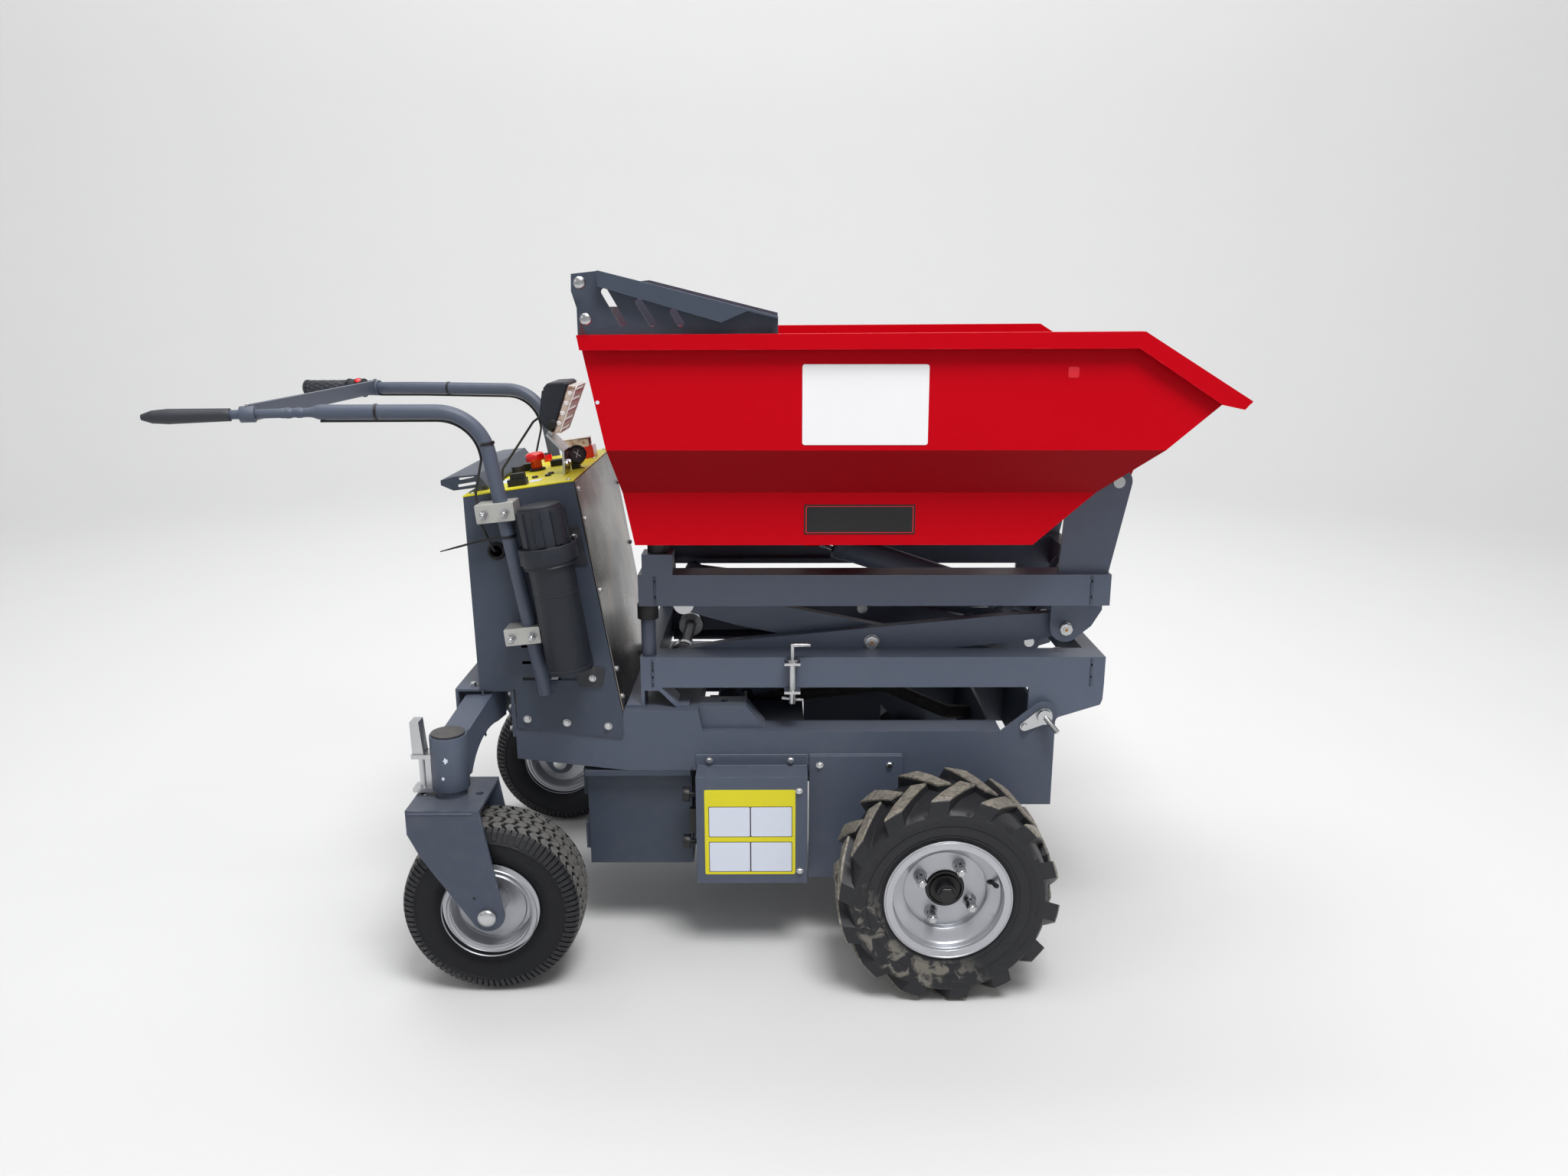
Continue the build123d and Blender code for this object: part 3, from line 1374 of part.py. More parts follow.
def laid(points, r, bend):
    """Hose or cable along runs that its clips and housings hold, with equal bends."""
    with BuildLine() as run:
        FilletPolyline(*points, radius=bend)
    with BuildSketch(Plane(origin=run.line @ 0, z_dir=run.line % 0)) as ring:
        Circle(r)
    sweep(ring.sketch, path=run.line)


under = tube_r + cable_r + gap  # centre of a cable under a handle's centre
behind = under / cos(radians(9.9))
tape_z = 966  # where the cable leaves the handle
tape_x = bend_x + lean * (handle_z - tape_z) - behind
lamp_y_mid = (lamp_y[0] + lamp_y[1]) / 2
with BuildPart() as hoses:
    # wrapped hoses from the rear cross member to the front cross plate
    laid(
        [
            spot(lift_foot_x + 30 + gap, 60, shelf_top - 14),
            spot(-240, 60, shelf_top - 14),
            spot(-75, 40, 440),
            spot(plate_x - 50, 40, 380),
            spot(plate_x - gap, 40, 380),
        ],
        hose_r,
        50,
    )
    # near and far cables: under the handle, down past its clamp and into the side of the box
    for flip, start in ((-1, bar_start + grip_dir), (1, to_far(grip_end - grip_dir * 181))):
        laid(
            [
                start - Vector(0, 0, under),
                Vector(elbow.X, flip * abs(elbow.Y), elbow.Z - under),
                spot(bend_x + lean * under - behind, flip * handle_y, handle_z - under),
                spot(tape_x, flip * handle_y, tape_z),
                spot(box_front - 243, flip * (handle_y - 2), 905),
                spot(box_front - 238, flip * (handle_y - 6), 850),
                spot(cable_hole[0] - 1, flip * (box_y + 14), cable_hole[1] + 3),
                spot(cable_hole[0], flip * (box_y - 12), cable_hole[1]),
            ],
            cable_r,
            (88, 72, 25, 40, 20, 9),
        )
    # lamp cable, from the back of the lamp down to the panel
    laid(
        [
            spot(box_front - 147.2, lamp_y_mid, 1030),
            spot(box_front - 168, lamp_y_mid, 1016),
            spot(box_front - 232, lamp_y_mid, 925),
            spot(box_front - 232, lamp_y_mid, 903.4),
        ],
        cable_r,
        (15, 15),
    )
save(hoses, "hoses")
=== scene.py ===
# %% [markdown]
# A walk-behind site dumper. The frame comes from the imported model, in metres. The script gives every
# CAD node its finish and adds the fine work: tread, bolts, lamp, controls, plates, welds and cable ties.

# %% Frame
import bpy, bmesh
from math import sin, cos, pi, radians
from mathutils import Vector, Matrix


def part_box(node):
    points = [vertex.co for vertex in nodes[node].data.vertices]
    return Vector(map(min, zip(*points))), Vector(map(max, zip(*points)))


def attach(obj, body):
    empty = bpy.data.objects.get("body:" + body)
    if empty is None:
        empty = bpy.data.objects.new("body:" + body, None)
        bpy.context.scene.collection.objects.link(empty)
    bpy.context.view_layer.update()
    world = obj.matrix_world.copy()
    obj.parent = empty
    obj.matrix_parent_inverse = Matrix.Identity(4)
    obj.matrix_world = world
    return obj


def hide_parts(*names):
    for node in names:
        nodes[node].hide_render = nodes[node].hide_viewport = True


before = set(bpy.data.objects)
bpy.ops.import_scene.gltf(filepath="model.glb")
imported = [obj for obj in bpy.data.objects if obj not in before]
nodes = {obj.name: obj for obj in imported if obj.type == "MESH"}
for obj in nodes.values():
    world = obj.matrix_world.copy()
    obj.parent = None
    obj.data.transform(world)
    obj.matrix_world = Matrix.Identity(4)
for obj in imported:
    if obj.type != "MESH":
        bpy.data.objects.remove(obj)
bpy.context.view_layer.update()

# %% [markdown]
# Places are given in millimetres from the drive axle, as on a drawing: x forward, y to the left
# (the near side is negative), z up. The axle's own place comes from the hub.

# %% Places
hub_low, hub_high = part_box("drive_hub_near")
axle_x = (hub_low.x + hub_high.x) / 2
RIGHT, NEAR, FAR, UP = Vector((1, 0, 0)), Vector((0, -1, 0)), Vector((0, 1, 0)), Vector((0, 0, 1))
SIDES = ((-1, NEAR), (1, FAR))  # sign of y and the way out on each side
PAIR = (("near", -1), ("far", 1))  # name and sign of y of the paired wheels


def at(x, y, z):
    return Vector((axle_x + x / 1000, y / 1000, z / 1000))


def node_at(name):
    """A node's box in the drawing's own millimetres: lowest and highest corner."""
    low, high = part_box(name)
    shift = Vector((axle_x, 0, 0))
    return (low - shift) * 1000, (high - shift) * 1000


print("axle", round(axle_x, 4))

# %% [markdown]
# Small helpers that build closed shapes into one mesh, so that like details share a piece.

# %% Helpers
def new_piece(name, bm, body, material, smooth=None):
    """Turns a bmesh into an object that rides on a body. smooth is the sharp edges' angle, None for flat."""
    mesh = bpy.data.meshes.new(name)
    bmesh.ops.recalc_face_normals(bm, faces=bm.faces)
    bm.to_mesh(mesh)
    bm.free()
    if smooth is not None:
        mesh.shade_smooth()
        mesh.set_sharp_from_angle(angle=radians(smooth))
    mesh.materials.append(material)
    obj = bpy.data.objects.new(name, mesh)
    bpy.context.scene.collection.objects.link(obj)
    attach(obj, body)
    return obj


def basis(normal):
    """Matrix whose z points along normal."""
    return normal.to_track_quat("Z", "Y").to_matrix().to_4x4()


def skin(bm, rings, close=False):
    """Faces between rings of vertices, with both ends filled unless the rings close on themselves."""
    count = len(rings[0])
    pairs = list(zip(rings, rings[1:]))
    if close:
        pairs.append((rings[-1], rings[0]))
    for low, high in pairs:
        for i in range(count):
            j = (i + 1) % count
            bm.faces.new((low[i], low[j], high[j], high[i]))
    if not close:
        bm.faces.new(rings[0][::-1])
        bm.faces.new(rings[-1])


def add_turned(bm, place, normal, profile, sides=24):
    """Solid turned about the line through place along normal. profile is (height, radius) in metres."""
    frame_at = Matrix.Translation(place) @ basis(normal)
    turn = [2 * pi * i / sides for i in range(sides)]
    skin(bm, [[bm.verts.new(frame_at @ Vector((radius * cos(a), radius * sin(a), height))) for a in turn]
              for height, radius in profile])


def add_bolt(bm, place, normal, size=0.006):
    """Hex head with a chamfered top on a washer. size is the thread's diameter."""
    normal = normal.normalized()
    add_turned(bm, place, normal, [(0, size * 1.2), (size * 0.2, size * 1.2)], 20)
    head = [(size * 0.2, size * 0.98), (size * 0.8, size * 0.98), (size * 0.92, size * 0.84)]
    add_turned(bm, place, normal, head, 6)
    add_turned(bm, place, normal, [(size * 0.9, size * 0.5), (size * 1.0, size * 0.44)], 12)


def add_ring(bm, centre, axis, profile, steps=72):
    """Closed ring of revolution. profile is (radius, along) in metres, round the axis through centre."""
    frame_at = Matrix.Translation(centre) @ basis(axis)
    rings = []
    for i in range(steps):
        a = 2 * pi * i / steps
        rings.append([bm.verts.new(frame_at @ Vector((r * cos(a), r * sin(a), z))) for r, z in profile])
    skin(bm, rings, close=True)


def add_tube(bm, points, radius, sides, waves):
    """Tube through points. Its radius swells and shrinks by waves along the way, as a weld bead's does."""
    rings = []
    count = len(points)
    for i, point in enumerate(points):
        along = (points[min(i + 1, count - 1)] - points[max(i - 1, 0)]).normalized()
        r = radius * (1 + waves * (1 if i % 2 else -1))
        turned = Matrix.Translation(point) @ basis(along)
        circle = [2 * pi * k / sides for k in range(sides)]
        rings.append([bm.verts.new(turned @ Vector((r * cos(a), r * sin(a), 0))) for a in circle])
    skin(bm, rings)


def add_bead(bm, start, end, radius):
    """Weld bead: a rippled tube half sunk in the corner."""
    ripple = 0.003
    steps = max(3, int((end - start).length / ripple))
    add_tube(bm, [start.lerp(end, i / steps) for i in range(steps + 1)], radius, sides=7, waves=0.18)


def add_plate(bm, outline, thick, place, right, up):
    """Flat plate: outline in metres in the plane of right and up, grown along their cross product."""
    normal = right.cross(up).normalized()
    low = [bm.verts.new(place + right * u + up * v) for u, v in outline]
    skin(bm, [low, [bm.verts.new(v.co + normal * thick) for v in low]])


def add_prism(bm, loop, shift):
    """Solid between a flat loop of points and the same loop moved by shift."""
    skin(bm, [[bm.verts.new(p) for p in loop], [bm.verts.new(p + shift) for p in loop]])


def rounded(width, height, radius, steps=5):
    """Outline of a rectangle with rounded corners, centred."""
    points = []
    for cx, cy, start in ((1, -1, -90), (1, 1, 0), (-1, 1, 90), (-1, -1, 180)):
        for i in range(steps + 1):
            a = radians(start + 90 * i / steps)
            points.append((cx * (width / 2 - radius) + radius * cos(a),
                           cy * (height / 2 - radius) + radius * sin(a)))
    return points


def bevel(obj, width, segments=2, angle=35):
    mod = obj.modifiers.new("edge", "BEVEL")
    mod.width, mod.segments = width, segments
    mod.limit_method, mod.angle_limit = "ANGLE", radians(angle)
    mod.harden_normals = True
    return mod


print("helpers ready")

# %% [markdown]
# Finishes. Each is a node material: fine noise moves the colour and the roughness a little, a bump gives
# the surface its grain, dust lies on what faces up, and paint is worn thin along sharp edges.

# %% Materials
class Nodes:
    """Short way to add shader nodes and join them."""

    def __init__(self, material):
        material.use_nodes = True
        self.tree = material.node_tree
        self.shader = self.tree.nodes["Principled BSDF"]
        self.where = self.add("ShaderNodeTexCoord").outputs["Object"]

    def add(self, kind, **values):
        node = self.tree.nodes.new(kind)
        for name, value in values.items():
            setattr(node, name, value)
        return node

    def link(self, source, target):
        self.tree.links.new(source, target)

    def noise(self, scale, detail=3, distortion=0.0):
        node = self.add("ShaderNodeTexNoise")
        node.inputs["Scale"].default_value = scale
        node.inputs["Detail"].default_value = detail
        node.inputs["Distortion"].default_value = distortion
        self.link(self.where, node.inputs["Vector"])
        return node.outputs["Fac"]

    def spread(self, value, low, high, to_low=0.0, to_high=1.0):
        node = self.add("ShaderNodeMapRange")
        for name, number in (("From Min", low), ("From Max", high), ("To Min", to_low), ("To Max", to_high)):
            node.inputs[name].default_value = number
        self.link(value, node.inputs["Value"])
        return node.outputs["Result"]

    def maths(self, operation, a, b=None, c=None):
        node = self.add("ShaderNodeMath", operation=operation)
        for socket, value in zip(node.inputs, (a, b, c)):
            if value is None:
                continue
            if isinstance(value, (int, float)):
                socket.default_value = value
            else:
                self.link(value, socket)
        return node.outputs["Value"]

    def parts(self, vector):
        """The X, Y and Z sockets of a vector."""
        node = self.add("ShaderNodeSeparateXYZ")
        self.link(vector, node.inputs["Vector"])
        return node.outputs

    def facing_up(self):
        """How far the surface faces up, from -1 to 1."""
        return self.parts(self.add("ShaderNodeNewGeometry").outputs["Normal"])["Z"]

    def mix(self, amount, a, b):
        """Colour mix; a and b are colours or sockets."""
        node = self.add("ShaderNodeMix", data_type="RGBA")
        self.link(amount, node.inputs["Factor"])
        for name, value in (("A", a), ("B", b)):
            if isinstance(value, tuple):
                node.inputs[name].default_value = (*value, 1)
            else:
                self.link(value, node.inputs[name])
        return node.outputs["Result"]


def shade(colour, share):
    return tuple(min(1, c * share) for c in colour)


worn_width, relief_height = 0.0025, 0.0004


def finish(name, colour, rough, metal=0.0, grain=900.0, bump=0.02, vary=0.12, dust=0.0,
           dust_colour=(0.30, 0.26, 0.21), coat=0.0, cloud=4.0, rough_vary=0.12, wear=0.0, shine=0.5,
           extra=None):
    """Painted, metal or plastic finish. extra(nodes, colour) gives the new colour."""
    material = bpy.data.materials.new(name)
    n = Nodes(material)
    n.shader.inputs["Metallic"].default_value = metal
    n.shader.inputs["Specular IOR Level"].default_value = shine
    if coat:
        n.shader.inputs["Coat Weight"].default_value = coat
        n.shader.inputs["Coat Roughness"].default_value = 0.12
    cloudy = n.noise(cloud, 6)
    base = n.mix(cloudy, shade(colour, 1 - vary), shade(colour, 1 + vary))
    if wear:
        # where a rounded normal leaves the true one, the edge is sharp and its paint thin
        soft = n.add("ShaderNodeBevel", samples=3)
        soft.inputs["Radius"].default_value = worn_width
        true = n.add("ShaderNodeNewGeometry")
        turn = n.add("ShaderNodeVectorMath", operation="DOT_PRODUCT")
        n.link(soft.outputs["Normal"], turn.inputs[0])
        n.link(true.outputs["Normal"], turn.inputs[1])
        edge = n.spread(turn.outputs["Value"], 0.985, 0.80)
        rub = n.spread(n.noise(60, 6), 0.46, 0.72, 0.0, wear)
        base = n.mix(n.maths("MULTIPLY", edge, rub), base, tuple(min(1, c * 1.6 + 0.10) for c in colour))
    if dust:
        lies = n.maths("MULTIPLY_ADD", n.facing_up(), 0.35, n.noise(38, 8))
        base = n.mix(n.spread(lies, 0.48, 0.95, 0.0, dust), base, dust_colour)
    if extra:
        base = extra(n, base)
    n.link(base, n.shader.inputs["Base Color"])
    n.link(n.spread(cloudy, 0, 1, max(0.03, rough - rough_vary), min(1, rough + rough_vary)),
           n.shader.inputs["Roughness"])
    relief = n.add("ShaderNodeBump")
    relief.inputs["Strength"].default_value = bump * 10
    relief.inputs["Distance"].default_value = relief_height
    n.link(n.noise(grain, 3), relief.inputs["Height"])
    n.link(relief.outputs["Normal"], n.shader.inputs["Normal"])
    return material


def srgb(r, g, b):
    return tuple((c / 255 / 12.92) if c < 10 else ((c / 255 + 0.055) / 1.055) ** 2.4 for c in (r, g, b))


clay = srgb(150, 144, 132)


def radius_from(n, centre_x, centre_z):
    """Distance of the shaded point from an axle across the machine."""
    point = n.parts(n.where)
    along = n.maths("SUBTRACT", point["X"], centre_x)
    height = n.maths("SUBTRACT", point["Z"], centre_z)
    return n.maths("SQRT", n.maths("ADD", n.maths("MULTIPLY", along, along),
                                   n.maths("MULTIPLY", height, height)))


def low_rear(n, centre):
    """How far the shaded point lies below and behind an axle."""
    point, rearward, downward = n.parts(n.where), 0.62, 0.78
    behind = n.maths("MULTIPLY_ADD", point["X"], -rearward, centre.x * rearward)
    below = n.maths("MULTIPLY_ADD", point["Z"], -downward, centre.z * downward)
    return n.maths("ADD", behind, below)


def dusty_tread(wheel, reach, amount, sidewall, tint=clay, low_noise=0.28, high_noise=0.60):
    """Dust on the outermost part of a tread and smears of clay over the sidewall."""
    low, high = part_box(wheel)
    centre = (low + high) / 2

    def layer(n, base):
        r = radius_from(n, centre.x, centre.z)
        top = n.maths("MULTIPLY", n.spread(r, reach - 0.0015, reach),
                      n.spread(n.noise(140, 6), low_noise, high_noise, 0.25, amount))
        base = n.mix(top, base, tint)
        smear = n.maths("MULTIPLY", n.spread(n.noise(34, 10, 1.2), 0.52, 0.60),
                        n.spread(r, 0.118, 0.128, 0, sidewall))
        smear = n.maths("MULTIPLY", smear, n.spread(r, 0.176, 0.166))
        smear = n.maths("MULTIPLY", smear, n.spread(low_rear(n, centre), 0.055, 0.105))
        return n.mix(smear, base, srgb(120, 116, 108))
    return layer


def painted_underside_shade(n, base):
    """Painted shade: what leans towards the ground is darkened to a deeper red."""
    return n.mix(n.spread(n.facing_up(), -0.3, -0.6, 0.0, 0.55), base, srgb(92, 0, 8))


# The skip's red takes painted shade on what faces the ground.
red = finish("red_paint", srgb(188, 0, 19), 0.42, vary=0.04, bump=0.02, wear=0.3, shine=0.08,
             extra=painted_underside_shade)
slate = finish("slate_paint", srgb(78, 86, 102), 0.42, vary=0.08, dust=0.06, bump=0.03, wear=0.6, shine=0.35)
# A lighter copy of the slate paint: painted light on the frames, arms and cylinder barrels.
lit_slate = finish("lit_slate_paint", srgb(88, 97, 115), 0.40, vary=0.08, dust=0.06, bump=0.03, wear=0.7,
                    shine=0.4)
# A darker copy of the slate paint: painted shade on the castor forks, with more edge wear and dust besides.
worn_shaded_slate = finish("worn_shaded_slate_paint", srgb(66, 74, 89), 0.40, vary=0.10, dust=0.10, bump=0.03, wear=1.0,
                    shine=0.35)
# A darker copy of the slate paint: painted shade on the boxes, the spill guard and the rear tray.
shaded_slate = finish("shaded_box_slate_paint", srgb(64, 72, 86), 0.42, vary=0.07, dust=0.05, bump=0.03, wear=0.5,
                      shine=0.3)
dark = finish("dark_steel", srgb(40, 43, 50), 0.5, vary=0.2, dust=0.2)
silver = finish("silver_rim", srgb(188, 190, 196), 0.34, metal=0.7, vary=0.08, grain=400, dust=0.08)
zinc = finish("zinc_plate", srgb(196, 197, 199), 0.26, metal=1.0, vary=0.10, grain=700)
brass = finish("brass", srgb(176, 128, 70), 0.35, metal=0.9, vary=0.1)
brushed = finish("galvanised_clamp", srgb(190, 190, 186), 0.42, metal=0.7, vary=0.10, grain=500)


def mirrored_yard(n, base):
    """Slow dark and warm patches, as a bright sheet shows the yard round it."""
    base = n.mix(n.spread(n.noise(6.5, 2, 0.6), 0.42, 0.62, 0.0, 0.45), base, srgb(66, 64, 66))
    return n.mix(n.spread(n.noise(4.2, 1, 0.6), 0.50, 0.68, 0.0, 0.35), base, srgb(160, 136, 106))


steel = finish("bright_panel", srgb(122, 119, 117), 0.28, metal=1.0, vary=0.08, grain=260, cloud=9,
               extra=mirrored_yard)
chrome = finish("chrome_rod", srgb(225, 226, 230), 0.08, metal=1.0, vary=0.02, grain=200, bump=0.0,
                rough_vary=0.03)
rubber = finish("rubber", srgb(26, 26, 29), 0.62, vary=0.25, grain=500, bump=0.06, dust=0.10)
drive_rubber = finish("drive_tyre_rubber", srgb(32, 33, 37), 0.46, vary=0.22, grain=420, bump=0.08, dust=0.05,
                      dust_colour=srgb(88, 86, 84), shine=0.4,
                      extra=dusty_tread("drive_tyre_near", 0.1965, 0.85, 0.8))
carcass_rubber = finish("castor_carcass_rubber", srgb(21, 22, 26), 0.48, vary=0.2, grain=420, bump=0.06,
                        shine=0.25)
castor_dust = dusty_tread("castor_tyre_near", 0.1606, 0.8, 0.0, srgb(112, 111, 108), 0.1, 0.5)
castor_rubber = finish("castor_tyre_rubber", srgb(31, 32, 36), 0.50, vary=0.22, grain=420, bump=0.08,
                       dust=0.04, dust_colour=srgb(96, 93, 88), shine=0.4, extra=castor_dust)
plastic = finish("black_plastic", srgb(36, 40, 48), 0.45, vary=0.10, grain=600, bump=0.05, dust=0.03,
                 shine=0.3)
deep = finish("deep_black", srgb(20, 20, 23), 0.45, vary=0.2, grain=600, bump=0.04)
grip = finish("grip_rubber", srgb(44, 46, 53), 0.5, vary=0.12, grain=700, bump=0.08)
yellow = finish("yellow_panel", srgb(214, 205, 24), 0.42, vary=0.08, dust=0.10)
sign_yellow = finish("yellow_sign", srgb(224, 214, 14), 0.38, vary=0.04, dust=0.06)
pale = finish("pale_plate", srgb(216, 222, 236), 0.42, vary=0.03, dust=0.04)
white = finish("white_plate", srgb(236, 236, 238), 0.35, vary=0.02)
pad_red = finish("pad_red", srgb(214, 30, 44), 0.35, vary=0.04)
glossy_red = finish("red_plastic", srgb(214, 14, 20), 0.25, vary=0.05, coat=0.4)


def warm_facets(n, base):
    """Darker warm facets in clear glass."""
    return n.mix(n.spread(n.noise(90, 2), 0.45, 0.62), base, srgb(150, 120, 104))


lens = finish("lamp_glass", srgb(206, 192, 178), 0.12, vary=0.15, coat=0.8, cloud=30, extra=warm_facets)
print("materials", len(bpy.data.materials))

# %% [markdown]
# Every CAD node that stays gets its finish and slightly broken edges.

# %% Finishes on the CAD nodes
finishes = (
    (red, 0.0020, ["skip"]),
    (slate, 0.0016, ["chassis", "rear_beam", "outrigger_beam", "drive_covers", "power_unit_box", "handlebars",
                     "rest_posts", "handle_crossbar"]),
    (lit_slate, 0.0018, ["lower_frame", "upper_frame", "inner_arms", "outer_arms", "tip_barrel",
                          "lift_barrel"]),
    (worn_shaded_slate, 0.0014, [f"castor_fork_{s}" for s, _ in PAIR]),
    (shaded_slate, 0.0016, ["control_box", "battery_box", "spill_guard", "rear_tray"]),
    (dark, 0.0010, ["transaxle", "tube_brackets", "sleeve_caps"]),
    (silver, 0.0012, [f"{wheel}_rim_{s}" for wheel in ("drive", "castor") for s, _ in PAIR]),
    (zinc, 0.0008, ["chassis_pins", "lower_pins", "upper_pins", "centre_pins", "lower_rollers",
                    "upper_rollers", "lock_pins", "swivel_locks", "lamp_bracket"]
     + [f"castor_pin_{s}" for s, _ in PAIR]),
    (brushed, 0.0012, ["handle_clamps"]),
    (plastic, 0.0020, ["document_tube", "work_lamp"]),
    (deep, 0.0008, ["panel_switches", "power_box_knobs"] + [f"drive_hub_{s}" for s, _ in PAIR]),
    (steel, 0.0006, ["front_panel"]),
    (chrome, 0.0006, ["lift_rod", "tip_rod"]),
    (rubber, 0.0010, ["rest_caps", "skip_buffers", "hoses"]),
    (drive_rubber, 0.0030, [f"drive_tyre_{s}" for s, _ in PAIR]),
    (castor_rubber, 0.0030, [f"castor_tyre_{s}" for s, _ in PAIR]),
    (grip, 0.0012, ["grips"]),
    (yellow, 0.0004, ["control_panel"]),
    (glossy_red, 0.0012, ["panel_controls"]),
    (lens, 0.0015, ["lamp_lens"]),
)
for material, width, names in finishes:
    for name in names:
        obj = nodes[name]
        obj.data.materials.clear()
        obj.data.materials.append(material)
        weld = obj.modifiers.new("weld", "WELD")
        weld.merge_threshold = 0.00002
        bevel(obj, width)
print("nodes without a finish:", sorted(set(nodes) - {n for _, _, names in finishes for n in names}))

# %% [markdown]
# Castor tyres: a turf tread of bent blocks in rows, half a pitch apart, with bars down both shoulders.
# They stand for the plain CAD tyres and stay inside them.

# %% Castor tyres
block_count = 44
rows = (-0.0368, -0.0184, 0.0, 0.0184, 0.0368)
row_w = 0.0158
tread_r, crown_drop, tread_half = 0.1648, 0.0042, 0.046
block_foot_r, block_edge = 0.156, 0.0006
nose, tail, kink = 0.24, -0.42, 0.24  # a block's ends and bend, in pitches
block_middle, top_length, top_width = 0.09, 0.94, 0.93


def crown(v):
    """Radius of the tread's outside at v across it."""
    return tread_r - crown_drop * (abs(v) / tread_half) ** 2


def castor_tyre(name):
    low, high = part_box(f"castor_tyre_{name}")
    centre = (low + high) / 2
    bm = bmesh.new()
    half = [(0.090, 0.0467), (0.104, 0.0580), (0.120, 0.0618), (0.133, 0.0620), (0.1345, 0.0632),
            (0.1365, 0.0632), (0.138, 0.0612), (0.148, 0.0560), (0.155, 0.0470), (0.1590, 0.0330),
            (0.1595, 0.0)]
    profile = [(0.0773, 0.0467)] + half
    profile += [(r, -v) for r, v in reversed(profile[:-1])]
    add_ring(bm, centre, FAR, profile, 96)
    new_piece(f"castor_carcass_{name}", bm, f"castor_wheel_{name}", carcass_rubber, 30)

    def wrapped(angle, v, r):
        return bm.verts.new(centre + Vector((r * sin(angle), v, r * cos(angle))))

    bm = bmesh.new()
    pitch = 2 * pi / block_count
    for row, v0 in enumerate(rows):
        bend = kink if row % 2 else -kink
        plan = ((tail, -0.5), (nose, -0.5), (nose + bend, 0.0), (nose, 0.5), (tail, 0.5), (tail + bend, 0.0))
        for i in range(block_count):
            start = (i + 0.5 * (row % 2)) * pitch
            low_ring, mid_ring, top_ring = [], [], []
            for u, w in plan:
                v = v0 + w * row_w
                low_ring.append(wrapped(start + u * pitch, v, block_foot_r))
                mid_ring.append(wrapped(start + u * pitch, v, crown(v) - block_edge))
                top_angle = start + (u + block_middle) * top_length * pitch - block_middle * pitch
                top_ring.append(wrapped(top_angle, v0 + w * row_w * top_width, crown(v)))
            skin(bm, [low_ring, mid_ring, top_ring])
    # shoulder bars, in turn long and short
    for flip in (-1, 1):
        for i in range(block_count):
            start = (i + (0.25 if flip > 0 else 0.5)) * pitch
            for u0, u1, reach in ((-0.40, -0.02, 0.0626), (0.10, 0.46, 0.0614)):
                outer_end = 0.1400 if reach > 0.0622 else 0.1440
                section = ((0.0465, 0.1560, 0.1602), (0.0555, 0.1470, 0.1555), (reach, 0.1345, outer_end))
                rings = []
                for v, inner, outer in section:
                    rings.append([wrapped(start + u * pitch, flip * v, r) for u, r in
                                  ((u0, inner), (u1, inner), (u1, outer), (u0, outer))])
                skin(bm, rings)
    tread = new_piece(f"castor_tread_{name}", bm, f"castor_wheel_{name}", castor_rubber, None)
    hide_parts(f"castor_tyre_{name}")


for name, _ in PAIR:
    castor_tyre(name)
print("castor tyres")

# %% [markdown]
# Drive wheels: rings on the sidewalls, wheel nuts, the hub's end and the valve.

# %% Drive wheels
stud_turn, stud_circle_r, disc_depth = 62, 0.052, 0.048


def add_rim_bands(bm, centre, out, rim_half, bands, reach, steps):
    """Raised rings on a rim. bands is (radius, depth behind the rim's edge)."""
    for r, depth in bands:
        d = rim_half - depth
        ridge = [(r - reach, d - 0.001), (r, d + 0.0010), (r + reach, d - 0.001), (r, d - 0.003)]
        add_ring(bm, centre, out, ridge, steps)


